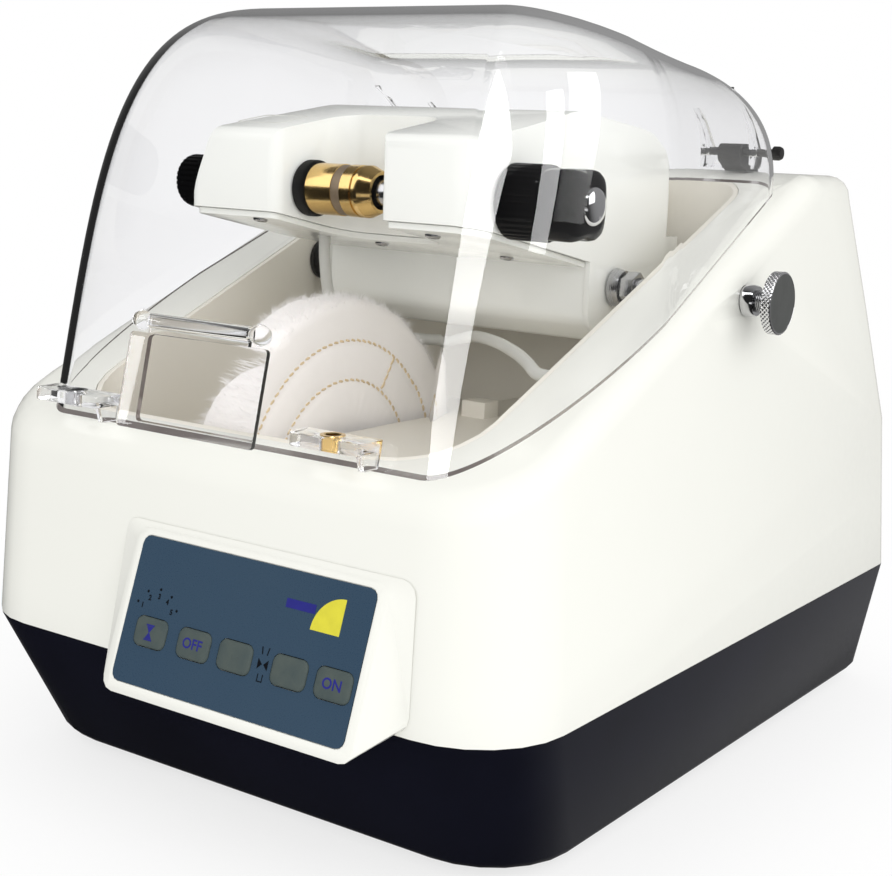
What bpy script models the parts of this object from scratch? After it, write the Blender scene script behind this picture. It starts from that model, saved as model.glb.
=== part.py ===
"""Automatic lens edge polisher: wedge-shaped white housing on a dark base, clear hood,
swinging lens carriage above a cloth buffing wheel, keypad console on the front.

Machine frame: X to the operator's right, Y to the back, Z up, zero at the base underside,
halfway along the width and depth of the seam. Every part hangs from one empty, which
shifts the machine so that the world origin is the bottom centre of its bounding box.
Metres throughout.
"""
import math

import bmesh
import bpy
from mathutils import Matrix, Vector

# ---------------------------------------------------------------- driving dimensions
GAP = 0.0003                      # clearance between pieces that touch
WIDTH, DEPTH = 0.300, 0.396       # at the seam between base and housing
SEAM_Z = 0.064
WALL = 0.003
FOOT_HEIGHT = 0.004
ORIGIN_SHIFT = (-0.0042, 0.00937, FOOT_HEIGHT)

BASE_FRONT_INSET, BASE_SIDE_INSET, BASE_REAR_INSET = 0.0313, 0.0112, 0.002
CORNER_FRONT, CORNER_REAR = 0.042, 0.015

SIDE_DRAFT, FRONT_DRAFT = 0.062 / 0.150, 0.035
RIM_FRONT_Y, RIM_FRONT_Z, RIM_SLOPE = -0.1835, 0.1596, 0.434
PLATEAU_Z = 0.275
REAR_BREAK_Z, REAR_BREAK_Y, REAR_TOP_Y = 0.150, 0.192, 0.128
SHOULDER_RADIUS = 0.011

OPENING_HALF, OPENING_FRONT, OPENING_REAR = 0.105, -0.176, 0.074
BASIN_WALL = 0.0025
SHELF_LEFT_Z, SHELF_RIGHT_Z, SHELF_EDGE_X = 0.143, 0.1505, -0.012
WELL_LEFT, WELL_RIGHT, WELL_REAR, WELL_FLOOR = -0.052, 0.002, 0.0115, 0.029

HOOD_HALF, HOOD_REAR, HOOD_THICK = 0.1336, 0.073, 0.003
HOOD_CORNER_X, HOOD_CORNER_Y, HOOD_TAPER = 0.0363, 0.122, 0.078
HOOD_REAR_RADIUS = 0.018
CROWN_HALF, CROWN_FRONT, CROWN_REAR = 0.066, -0.062, -0.009
CROWN_FRONT_Z, CROWN_REAR_Z = 0.3417, 0.328
CROWN_POWER_FRONT, CROWN_POWER_REAR = 4.0, 2.43
HOOD_LEAN_SIDE, HOOD_LEAN_FRONT = 0.017 / 0.150, 0.212
HINGE_Y, HINGE_Z, HINGE_X = 0.0775, 0.285, 0.0915

FLAP_X, FLAP_HALF, FLAP_PIVOT_Y, FLAP_PIVOT_Z = -0.019, 0.0385, -0.1795, 0.2055
WINDOW_HALF, WINDOW_LOW, WINDOW_HIGH = 0.032, 0.1625, 0.1985

WHEEL_Y, WHEEL_Z, WHEEL_RADIUS = -0.0829, 0.1242, 0.0868
WHEEL_LEFT, WHEEL_RIGHT = -0.039, -0.017
SPINDLE_RADIUS = 0.006
MOTOR_Y, MOTOR_Z, MOTOR_RADIUS = 0.062, 0.046, 0.038
PULLEY_X, PULLEY_WIDTH = -0.118, 0.009
WHEEL_PULLEY_RADIUS, MOTOR_PULLEY_RADIUS = 0.024, 0.014

PIVOT_Y, PIVOT_Z, PIVOT_RADIUS = 0.001, 0.2204, 0.005
LENS_Y, LENS_Z, LENS_SHAFT_RADIUS = -0.090, 0.261, 0.005
CARRIAGE_FRONT, CARRIAGE_REAR = -0.112, 0.066
CARRIAGE_RIGHT, CARRIAGE_LEFT, CARRIAGE_REAR_LEFT = 0.073, -0.091, -0.080
NOTCH_LEFT, NOTCH_RIGHT, NOTCH_BACK = -0.037, 0.021, -0.062
SHELL = 0.0025

GEAR_MODULE, GEAR_WIDTH, GEAR_X = 0.00125, 0.007, -0.0685
SPINDLE_TEETH, IDLER_TEETH, PINION_TEETH = 20, 22, 12

CONSOLE_CENTRE = Vector((0.0303, -0.2080, 0.0903))
CONSOLE_TILT = math.radians(18.74)
MEMBRANE_WIDTH, MEMBRANE_HEIGHT = 0.1228, 0.0616
CONSOLE_BORDER, CONSOLE_TOP_BORDER = 0.0048, 0.0030
BUTTON_V = -0.0082
BUTTONS = {
    "button_timer": -0.0453,
    "button_off": -0.0213,
    "button_release": 0.0008,
    "button_clamp": 0.0288,
    "button_on": 0.0506,
}
BUTTON_WIDTH, BUTTON_HEIGHT = 0.0180, 0.0128
CABLE_Y, CABLE_Z, CABLE_RADIUS = -0.0930, 0.1900, 0.0028
TABS = {"left": (-0.104, -0.063), "right": (0.041, 0.078)}

WHITE = (0.86, 0.86, 0.82)
NAVY = (0.012, 0.014, 0.028)
CLEAR = (0.80, 0.81, 0.84)
STEEL = (0.62, 0.62, 0.63)
CHROME = (0.75, 0.75, 0.76)
BRASS = (0.72, 0.50, 0.20)
BLACK = (0.012, 0.012, 0.013)
RUBBER = (0.02, 0.02, 0.02)
BEIGE = (0.66, 0.63, 0.55)
CLOTH = (0.88, 0.85, 0.84)
BLUE = (0.11, 0.19, 0.28)
KEY = (0.22, 0.25, 0.24)
GREEN = (0.05, 0.22, 0.12)

# ---------------------------------------------------------------- scene and helpers
for old in list(bpy.data.objects):
    bpy.data.objects.remove(old, do_unlink=True)

parts = bpy.data.collections.new("lens_edge_polisher")
cutters = bpy.data.collections.new("cutters")
for collection in (parts, cutters):
    bpy.context.scene.collection.children.link(collection)

frame = bpy.data.objects.new("machine_frame", None)
frame.location = ORIGIN_SHIFT
parts.objects.link(frame)


def material(name, colour, roughness, metallic=0.0, alpha=1.0):
    """One Principled material for one part."""
    made = bpy.data.materials.new(name)
    made.use_nodes = True
    shader = made.node_tree.nodes["Principled BSDF"]
    shader.inputs["Base Color"].default_value = (*colour, 1.0)
    shader.inputs["Roughness"].default_value = roughness
    shader.inputs["Metallic"].default_value = metallic
    shader.inputs["Alpha"].default_value = alpha
    made.diffuse_color = (*colour, alpha)
    return made


def add(name, mesh, location=(0, 0, 0), look=None, parent=frame):
    """Object for a finished piece (with a look) or for a cutter (without one)."""
    item = bpy.data.objects.new(name, mesh)
    item.location = location
    if look:
        mesh.materials.append(material(name, *look))
        mesh.shade_smooth()
        mesh.set_sharp_from_angle(angle=math.radians(32))
        parts.objects.link(item)
    else:
        item.hide_render = True
        item.display_type = "WIRE"
        cutters.objects.link(item)
    item.parent = parent
    return item


def to_mesh(name, bm):
    """Mesh from a bmesh, with every face pointing out."""
    bm.normal_update()
    bmesh.ops.recalc_face_normals(bm, faces=bm.faces)
    mesh = bpy.data.meshes.new(name)
    bm.to_mesh(mesh)
    bm.free()
    return mesh


def evaluated_mesh(item):
    """Mesh of an object with its modifiers applied, welded. The object is removed."""
    bpy.context.scene.collection.objects.link(item)
    bpy.context.view_layer.update()
    mesh = bpy.data.meshes.new_from_object(item.evaluated_get(bpy.context.evaluated_depsgraph_get()))
    bpy.data.objects.remove(item, do_unlink=True)
    bm = bmesh.new()
    bm.from_mesh(mesh)
    bmesh.ops.remove_doubles(bm, verts=bm.verts, dist=0.00001)
    return bm


def block(name, low, high, look=None, bevel=0.0, parent=frame):
    """Box between two corners, with its origin at its centre."""
    low, high = Vector(low), Vector(high)
    bm = bmesh.new()
    bmesh.ops.create_cube(bm, size=1.0, matrix=Matrix.Diagonal((*(high - low), 1.0)))
    item = add(name, to_mesh(name, bm), (low + high) / 2, look, parent)
    if bevel:
        rounding = item.modifiers.new("edges", "BEVEL")
        rounding.width = bevel
        rounding.segments = 2
    return item


def turned(name, profile, y, z, look=None, steps=24, parent=frame, ring=False):
    """Solid of revolution about the X-parallel line through (y, z).

    profile lists (x, radius). It starts and ends on the axis, or closes on itself for a
    ring. It is turned about local Z, which is then laid along X.
    """
    mesh = bpy.data.meshes.new(name)
    count = len(profile)
    edges = [(i, (i + 1) % count) for i in range(count if ring else count - 1)]
    mesh.from_pydata([(radius, 0.0, x) for x, radius in profile], edges, [])
    line = bpy.data.objects.new(name, mesh)
    screw = line.modifiers.new("turn", "SCREW")
    screw.steps = screw.render_steps = steps
    screw.use_merge_vertices = True
    screw.merge_threshold = 0.00001
    bm = evaluated_mesh(line)
    bmesh.ops.rotate(bm, verts=bm.verts, cent=(0, 0, 0), matrix=Matrix.Rotation(math.radians(90), 3, "Y"))
    return add(name, to_mesh(name, bm), (0, y, z), look, parent)


def tube_profile(x0, x1, inner, outer):
    return [(x1, inner), (x1, outer), (x0, outer), (x0, inner)]


def rod_profile(x0, x1, radius, chamfer=0.0005):
    return [(x1, 0), (x1, radius - chamfer), (x1 - chamfer, radius),
            (x0 + chamfer, radius), (x0, radius - chamfer), (x0, 0)]


def fillet(corners, step=math.radians(18)):
    """Outline with each (u, v, radius) corner replaced by an arc; radius 0 stays sharp."""
    outline = []
    count = len(corners)
    for index, (u, v, radius) in enumerate(corners):
        corner = Vector((u, v))
        if radius == 0:
            outline.append(corner)
            continue
        back = (Vector(corners[index - 1][:2]) - corner).normalized()
        ahead = (Vector(corners[(index + 1) % count][:2]) - corner).normalized()
        half = back.angle(ahead) / 2
        centre = corner + (back + ahead).normalized() * radius / math.sin(half)
        start = corner + back * radius / math.tan(half) - centre
        turn = start.angle_signed(corner + ahead * radius / math.tan(half) - centre)
        steps = max(2, round(abs(turn) / step))
        for k in range(steps + 1):
            outline.append(centre + Matrix.Rotation(-turn * k / steps, 2) @ start)
    return [(p.x, p.y) for p in outline]


def inset(corners, distance):
    """Corner list moved inwards by distance (mitred), arcs keeping their centres."""
    area = sum(a[0] * b[1] - b[0] * a[1] for a, b in zip(corners, corners[1:] + corners[:1]))
    side = 1 if area > 0 else -1
    moved = []
    count = len(corners)
    for index, (u, v, radius) in enumerate(corners):
        corner = Vector((u, v))
        before = (corner - Vector(corners[index - 1][:2])).normalized()
        after = (Vector(corners[(index + 1) % count][:2]) - corner).normalized()
        normal_a = Vector((-before.y, before.x)) * side
        normal_b = Vector((-after.y, after.x)) * side
        mitre = (normal_a + normal_b) / (1 + normal_a.dot(normal_b))
        convex = (before.x * after.y - before.y * after.x) * side > 0
        kept = radius - distance if convex else radius + distance
        moved.append((*(corner + mitre * distance), max(kept, 0.0004) if radius else 0.0))
    return moved


def circle(u, v, radius, steps=20):
    return [(u + radius * math.cos(math.tau * k / steps), v + radius * math.sin(math.tau * k / steps))
            for k in range(steps)]


AXES = {  # plane name: matrix from (u, v, w) to (x, y, z)
    "XY": Matrix.Identity(4),
    "YZ": Matrix(((0, 0, 1, 0), (1, 0, 0, 0), (0, 1, 0, 0), (0, 0, 0, 1))),
    "XZ": Matrix(((1, 0, 0, 0), (0, 0, -1, 0), (0, 1, 0, 0), (0, 0, 0, 1))),
}


def plate(name, outlines, plane, low, high, look=None, parent=frame, origin=(0, 0, 0)):
    """Flat outline (with optional holes) extruded between two levels of its normal axis.

    On plane XZ the levels are Y values. origin is where the object's own origin goes.
    """
    curve = bpy.data.curves.new(name, "CURVE")
    curve.dimensions = "2D"
    curve.fill_mode = "BOTH"
    curve.extrude = (high - low) / 2
    for outline in outlines:
        spline = curve.splines.new("POLY")
        spline.points.add(len(outline) - 1)
        for point, (u, v) in zip(spline.points, outline):
            point.co = (u, v, 0, 1)
        spline.use_cyclic_u = True
    bm = evaluated_mesh(bpy.data.objects.new(name, curve))
    middle = (low + high) / 2
    lift = Matrix.Translation((0, 0, -middle if plane == "XZ" else middle))
    bm.transform(Matrix.Translation(-Vector(origin)) @ AXES[plane] @ lift)
    for face in bm.faces:
        face.material_index = 0
    return add(name, to_mesh(name, bm), origin, look, parent)


def boolean(item, tool, operation="DIFFERENCE"):
    step = item.modifiers.new(operation.lower(), "BOOLEAN")
    step.object = tool
    step.operation = operation
    return item


def loft(name, rings, look=None, parent=frame, closed=True):
    """Skin over rings of equal length, listed upwards, each counter-clockwise from above."""
    bm = bmesh.new()
    layers = [[bm.verts.new(point) for point in ring] for ring in rings]
    for below, above in zip(layers, layers[1:]):
        for i in range(len(below)):
            j = (i + 1) % len(below)
            bm.faces.new((below[i], below[j], above[j], above[i]))
    if closed:
        bm.faces.new(layers[0][::-1])
        bm.faces.new(layers[-1])
    mesh = bpy.data.meshes.new(name)
    bm.to_mesh(mesh)
    bm.free()
    return add(name, mesh, (0, 0, 0), look, parent)


def rounded_rectangle(half, front, rear, front_radius, rear_radius, side=(0.5,), arc=6, across=(0.5,)):
    """Counter-clockwise outline from the front left corner; side and across place extra points."""
    points = []

    def corner(x, y, radius, start):
        for k in range(arc + 1):
            angle = math.radians(start + 90 * k / arc)
            points.append((x + radius * math.cos(angle), y + radius * math.sin(angle)))

    def straight(a, b, fractions):
        points.extend((a[0] + (b[0] - a[0]) * f, a[1] + (b[1] - a[1]) * f) for f in fractions)

    corner(half - front_radius, front + front_radius, front_radius, -90)
    straight((half, front + front_radius), (half, rear - rear_radius), side)
    corner(half - rear_radius, rear - rear_radius, rear_radius, 0)
    straight((half - rear_radius, rear), (rear_radius - half, rear), across)
    corner(rear_radius - half, rear - rear_radius, rear_radius, 90)
    straight((-half, rear - rear_radius), (-half, front + front_radius), [1 - f for f in reversed(side)])
    corner(front_radius - half, front + front_radius, front_radius, 180)
    straight((front_radius - half, front), (half - front_radius, front), across)
    return points


# ---------------------------------------------------------------- base, feet
def base_ring(z, grow=0.0):
    """Outline of the base at height z: it narrows towards its underside."""
    low = 1 - z / SEAM_Z
    points = rounded_rectangle(
        WIDTH / 2 - BASE_SIDE_INSET * low + grow,
        -DEPTH / 2 + BASE_FRONT_INSET * low - grow,
        DEPTH / 2 - BASE_REAR_INSET * low + grow,
        CORNER_FRONT + grow, CORNER_REAR + grow)
    return [(x, y, z) for x, y in points]


def make_base():
    tray = loft("base_tray", [
        base_ring(0.0, -0.0050), base_ring(0.0015, -0.0022), base_ring(0.0050),
        base_ring(SEAM_Z - GAP / 2)], (NAVY, 0.22))
    hollow = loft("base_hollow", [base_ring(WALL, -WALL), base_ring(SEAM_Z + 0.01, -WALL)])
    boolean(tray, hollow)
    boolean(tray, block("inlet_opening", (0.0665, 0.185, 0.0225), (0.1135, 0.205, 0.0495)))
    for side, x in (("left", -0.108), ("right", 0.108)):
        for end, y in (("front", -0.128), ("rear", 0.168)):
            name = f"foot_{end}_{side}"
            plate(name, [circle(x, y, 0.010, 16)], "XY", -FOOT_HEIGHT, -GAP, (RUBBER, 0.8),
                  origin=(x, y, -FOOT_HEIGHT))
    inlet = block("power_inlet", (0.0670, 0.1720, 0.0230), (0.1130, 0.1958, 0.0490), (BLACK, 0.4))
    flange = block("inlet_flange", (0.0640, 0.1983, 0.0190), (0.1160, 0.2005, 0.0530))
    neck = block("inlet_neck", (0.0670, 0.190, 0.0230), (0.1130, 0.1990, 0.0490))
    boolean(inlet, neck, "UNION")
    boolean(inlet, flange, "UNION")
    boolean(inlet, block("inlet_socket", (0.0860, 0.1800, 0.0270), (0.1090, 0.210, 0.0450)))


# ---------------------------------------------------------------- upper housing and basin
SIDE_FRACTIONS = (0.13, 0.27, 0.40, 0.53, 0.66, 0.76, 0.82, 0.86, 0.90, 0.95)
ACROSS_FRACTIONS = (0.2, 0.4, 0.6, 0.8)


def rim_height(y):
    """Top of the housing: a ramp up from the front that ends in a level rear deck."""
    return min(RIM_FRONT_Z + RIM_SLOPE * (y - RIM_FRONT_Y), PLATEAU_Z)


def deck_start():
    """Where the ramp of the rim meets the level rear deck."""
    return RIM_FRONT_Y + (PLATEAU_Z - RIM_FRONT_Z) / RIM_SLOPE


def wall_point(x, y, z):
    """Point of the drafted outer wall above the seam point (x, y), at height z."""
    rise = z - SEAM_Z
    front = -DEPTH / 2 + FRONT_DRAFT * rise
    if z < REAR_BREAK_Z:
        rear = DEPTH / 2 + (REAR_BREAK_Y - DEPTH / 2) * rise / (REAR_BREAK_Z - SEAM_Z)
    else:
        rear = REAR_BREAK_Y + (REAR_TOP_Y - REAR_BREAK_Y) * (z - REAR_BREAK_Z) / (PLATEAU_Z - REAR_BREAK_Z)
    share = (y + DEPTH / 2) / DEPTH
    return x * (1 - SIDE_DRAFT * rise), front + (rear - front) * share, z


def wall_top(x, y):
    """Height where the wall above the seam point (x, y) meets the housing's top."""
    low, high = SEAM_Z, PLATEAU_Z + 0.001
    for _ in range(40):
        middle = (low + high) / 2
        if middle < rim_height(wall_point(x, y, middle)[1]):
            low = middle
        else:
            high = middle
    return low


def opening_outline(grow=0.0):
    return rounded_rectangle(OPENING_HALF + grow, OPENING_FRONT - grow, OPENING_REAR + grow,
                             0.034 + grow, 0.020 + grow, SIDE_FRACTIONS, 6, ACROSS_FRACTIONS)


def make_housing():
    seam = rounded_rectangle(WIDTH / 2, -DEPTH / 2, DEPTH / 2, CORNER_FRONT, CORNER_REAR,
                             SIDE_FRACTIONS, 6, ACROSS_FRACTIONS)
    tops = [wall_top(x, y) for x, y in seam]
    rings = [[wall_point(x, y, SEAM_Z + GAP / 2) for x, y in seam]]
    for share in (0.2, 0.41, 0.7, 1.0):
        rings.append([wall_point(x, y, SEAM_Z + (top - SHOULDER_RADIUS - SEAM_Z) * share)
                      for (x, y), top in zip(seam, tops)])
    wall_ring = rings[-1]
    inward = []
    count = len(seam)
    for i in range(count):
        along = Vector(seam[(i + 1) % count]) - Vector(seam[i - 1])
        inward.append(Vector((-along.y, along.x)).normalized())
    for step in (1, 2, 3, 4):
        angle = math.radians(90 * step / 4)
        ring = []
        for (x, y, _), normal in zip(wall_ring, inward):
            place = Vector((x, y)) + normal * SHOULDER_RADIUS * (1 - math.cos(angle))
            ring.append((*place, rim_height(place.y) - SHOULDER_RADIUS * (1 - math.sin(angle))))
        rings.append(ring)
    ledge = rounded_rectangle(OPENING_HALF + 0.006, OPENING_FRONT - 0.004, deck_start(),
                              0.038, 0.026, SIDE_FRACTIONS, 6, ACROSS_FRACTIONS)
    for outline in (ledge, opening_outline(-0.006)):
        rings.append([(x, y, rim_height(y)) for x, y in outline])
    housing = loft("upper_housing", rings, (WHITE, 0.28), closed=False)
    shell = housing.modifiers.new("shell", "SOLIDIFY")
    shell.thickness = WALL
    shell.offset = -1.0
    boolean(housing, loft("opening_cut", [[(x, y, z) for x, y in opening_outline()] for z in (0.13, 0.30)]))
    boolean(housing, turned("collar_hole", rod_profile(0.125, 0.16, 0.0066), PIVOT_Y, PIVOT_Z))
    for k in range(7):
        x = (k - 3) * 0.010
        boolean(housing, block(f"vent_{k}", (x - 0.0015, 0.175, 0.085), (x + 0.0015, 0.21, 0.125)))


def basin_prism(name, grow, low, look=None):
    outline = opening_outline(grow - GAP)
    return loft(name, [[(x, y, z) for x, y in outline] for z in (low, 0.290)], look)


def make_basin():
    wall = BASIN_WALL
    basin = basin_prism("splash_basin", 0.0, SHELF_LEFT_Z - wall, (BEIGE, 0.4))
    well = block("well_outer", (WELL_LEFT - wall, OPENING_FRONT + GAP, WELL_FLOOR - wall),
                 (WELL_RIGHT + wall, WELL_REAR + wall, SHELF_LEFT_Z + 0.001))
    boolean(basin, well, "UNION")
    ramp = [(-0.25, rim_height(-0.25) - GAP), (0.12, RIM_FRONT_Z + RIM_SLOPE * 0.3035 - GAP),
            (0.12, 0.35), (-0.25, 0.35)]
    boolean(basin, plate("ramp_cut", [ramp], "YZ", -0.15, 0.15))
    cavity = basin_prism("basin_cavity", -wall, SHELF_LEFT_Z)
    step = block("shelf_step", (SHELF_EDGE_X, -0.20, SHELF_LEFT_Z - 0.01), (0.12, 0.10, SHELF_RIGHT_Z))
    boolean(cavity, step)
    boolean(basin, cavity)
    boolean(basin, block("well_cavity", (WELL_LEFT, OPENING_FRONT + GAP + wall, WELL_FLOOR),
                         (WELL_RIGHT, WELL_REAR, SHELF_RIGHT_Z - wall)))
    boolean(basin, block("shelf_relief", (WELL_RIGHT + wall, -0.19, 0.12),
                         (0.12, 0.09, SHELF_RIGHT_Z - wall)))
    for name, x, y, z, radius in (
            ("spindle_hole", -0.054, WHEEL_Y, WHEEL_Z, 0.0085),
            ("pivot_hole_left", -0.104, PIVOT_Y, PIVOT_Z, 0.0063),
            ("pivot_hole_right", 0.104, PIVOT_Y, PIVOT_Z, 0.0063),
            ("cable_hole", 0.104, CABLE_Y, CABLE_Z, 0.0049)):
        boolean(basin, turned(name, rod_profile(x - 0.008, x + 0.008, radius), y, z))
    boolean(basin, block("stop_boss", (-0.001, -0.010, SHELF_RIGHT_Z - 0.001), (0.013, 0.002, 0.1585)), "UNION")


# ---------------------------------------------------------------- hood
def hood_outline(grow=0.0):
    """Bottom edge of the hood, seen from above: tapered sides, long elliptical front corners."""
    rear_start = HOOD_REAR + grow - HOOD_REAR_RADIUS
    bend_y = RIM_FRONT_Y + HOOD_CORNER_Y
    half = [(share * (HOOD_HALF - HOOD_CORNER_X), RIM_FRONT_Y - grow) for share in (0.0, 0.3, 0.6, 0.85)]
    for k in range(9):
        angle = math.radians(-90 + 90 * k / 8)
        half.append((HOOD_HALF - HOOD_CORNER_X + (HOOD_CORNER_X + grow) * math.cos(angle),
                     bend_y + (HOOD_CORNER_Y + grow) * math.sin(angle)))
    for share in (0.25, 0.5, 0.75, 1.0):
        y = bend_y + (rear_start - bend_y) * share
        half.append((HOOD_HALF + grow - HOOD_TAPER * (y - bend_y), y))
    centre = half[-1][0] - HOOD_REAR_RADIUS
    for k in range(1, 6):
        angle = math.radians(18 * k)
        half.append((centre + HOOD_REAR_RADIUS * math.cos(angle),
                     rear_start + HOOD_REAR_RADIUS * math.sin(angle)))
    half += [(centre * 0.6, HOOD_REAR + grow), (0.0, HOOD_REAR + grow)]
    return half + [(-x, y) for x, y in half[-2:0:-1]]


def hood_column(x, y, levels):
    """Points up the hood's wall from its bottom edge at (x, y) to the crown."""
    share = (y - RIM_FRONT_Y) / (HOOD_REAR - RIM_FRONT_Y)
    crown = Vector((x / HOOD_HALF * CROWN_HALF, CROWN_FRONT + (CROWN_REAR - CROWN_FRONT) * share))
    foot = RIM_FRONT_Z + RIM_SLOPE * (y - RIM_FRONT_Y) + GAP
    height = CROWN_FRONT_Z + (CROWN_REAR_Z - CROWN_FRONT_Z) * share - foot
    power = CROWN_POWER_FRONT + (CROWN_POWER_REAR - CROWN_POWER_FRONT) * share
    leant = Vector((x * (1 - HOOD_LEAN_SIDE * height), y + HOOD_LEAN_FRONT * height * (1 - share)))
    column = []
    for k in range(levels + 1):
        angle = math.pi / 2 * k / levels
        inwards = 1 - max(math.cos(angle), 0.0) ** (2 / power) if k < levels else 1.0
        rise = height * math.sin(angle) ** (2 / power)
        place = Vector((x * (1 - HOOD_LEAN_SIDE * rise), y + HOOD_LEAN_FRONT * rise * (1 - share)))
        place += (crown - leant) * inwards
        column.append((*place, foot + rise))
    return [(x, y, foot - 0.0025)] + column


def hood_rings(grow=0.0, levels=9):
    """Rings from just below the rim plane, where the foot is trimmed, to inside the crown."""
    columns = [hood_column(x, y, levels) for x, y in hood_outline(grow)]
    rings = [list(ring) for ring in zip(*columns)]
    middle = sum((Vector(p) for p in rings[-1]), Vector()) / len(rings[-1])
    crown = rings[-1]
    for share, lift in ((0.66, 0.0016), (0.3, 0.0024)):
        rings.append([tuple(middle + (Vector(p) - middle) * share + Vector((0, 0, lift))) for p in crown])
    return rings


def make_hood():
    hood = loft("hood", hood_rings(), (CLEAR, 0.03, 0.0, 0.35), closed=False)
    top = hood.data
    bm = bmesh.new()
    bm.from_mesh(top)
    bm.verts.ensure_lookup_table()
    ring = len(hood_outline())
    bm.faces.new(bm.verts[-ring:])
    bm.to_mesh(top)
    bm.free()
    shell = hood.modifiers.new("shell", "SOLIDIFY")
    shell.thickness = HOOD_THICK
    shell.offset = -1.0
    under = [(-0.25, 0.10), (0.12, 0.10), (0.12, rim_height(0.12)), (deck_start(), PLATEAU_Z + GAP),
             (-0.25, RIM_FRONT_Z + RIM_SLOPE * (-0.25 - RIM_FRONT_Y) + GAP)]
    boolean(hood, plate("foot_trim", [under], "YZ", -0.16, 0.16))
    window = fillet([(FLAP_X - WINDOW_HALF, WINDOW_LOW, 0.002), (FLAP_X + WINDOW_HALF, WINDOW_LOW, 0.002),
                     (FLAP_X + WINDOW_HALF, WINDOW_HIGH, 0.002), (FLAP_X - WINDOW_HALF, WINDOW_HIGH, 0.002)],
                    math.radians(45))
    boolean(hood, plate("window_cut", [window], "XZ", -0.22, -0.15))
    grown = loft("hood_clearance", hood_rings(GAP), closed=True)
    for side, sign in (("left", -1), ("right", 1)):
        make_hinge(side, sign, grown)
        make_tab(side, grown)
    make_flap()


def make_hinge(side, sign, grown):
    """Fixed block on the deck, clear forked bracket on the hood, and the pin through both."""
    nose = 0.0040
    cheek = fillet([(0.0835, PLATEAU_Z + GAP, 0), (0.1000, PLATEAU_Z + GAP, 0), (0.1000, 0.2820, 0.003),
                    (0.0940, HINGE_Z + nose, 0.003), (HINGE_Y - nose, HINGE_Z + nose, nose - 0.0001),
                    (HINGE_Y - nose, HINGE_Z - nose, nose - 0.0001)])
    x = sign * HINGE_X
    low, high = sorted((x - 0.006, x + 0.006))
    carrier = plate(f"hinge_block_{side}", [cheek], "YZ", low, high, ((0.10, 0.10, 0.10), 0.5))
    boolean(carrier, turned(f"pin_hole_{side}", rod_profile(low - 0.01, high + 0.01, 0.0024), HINGE_Y, HINGE_Z))
    gusset = fillet([(0.0600, 0.2768, 0.0), (0.0815, 0.2768, 0.003), (0.0858, 0.2835, 0.004),
                     (0.0700, 0.3010, 0.012), (0.0470, 0.3150, 0.0), (0.0450, 0.2900, 0.0)])
    inner, outer = HINGE_X - 0.0130, HINGE_X + 0.0130
    spans = [sorted((sign * (edge - 0.0015), sign * (edge + 0.0015))) for edge in (inner, outer)]
    bracket = plate(f"hood_bracket_{side}", [gusset], "YZ", *spans[0], (CLEAR, 0.03, 0.0, 0.4))
    boolean(bracket, plate(f"gusset_{side}", [gusset], "YZ", *spans[1]), "UNION")
    low, high = sorted((sign * inner, sign * outer))
    boolean(bracket, block(f"bracket_bar_{side}", (low, 0.0660, 0.2768), (high, 0.0750, 0.2786)), "UNION")
    boolean(bracket, turned(f"bracket_pin_hole_{side}", rod_profile(low - 0.01, high + 0.01, 0.0023),
                            HINGE_Y, HINGE_Z))
    boolean(bracket, grown)
    head, tip = sign * 0.1195, sign * (inner - 0.003)
    pin = [(head, 0), (head, 0.0028), (head - sign * 0.0012, 0.0034), (head - sign * 0.0042, 0.0034),
           (head - sign * 0.0042, 0.0020), (tip, 0.0020), (tip, 0)]
    turned(f"hinge_pin_{side}", pin, HINGE_Y, HINGE_Z, (BLACK, 0.35), steps=16)


def make_tab(side, grown):
    """Clear lifting tab with a round hole, on the front of the hood."""
    low, high = TABS[side]
    x = (low + high) / 2
    outline = fillet([(low, -0.1955, 0.005), (high, -0.1955, 0.005), (high, -0.1650, 0.0), (low, -0.1650, 0.0)])
    tab = plate(f"hood_tab_{side}", [outline, circle(x, -0.1885, 0.0045)], "XY", 0.1672, 0.1722,
                (CLEAR, 0.03, 0.0, 0.4))
    web = [(-0.1945, 0.1700), (-0.1650, 0.1700), (-0.1835, 0.1612), (-0.1920, 0.1612)]
    boolean(tab, plate(f"tab_web_{side}", [web], "YZ", high - 0.0030, high), "UNION")
    boolean(tab, grown)


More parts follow.
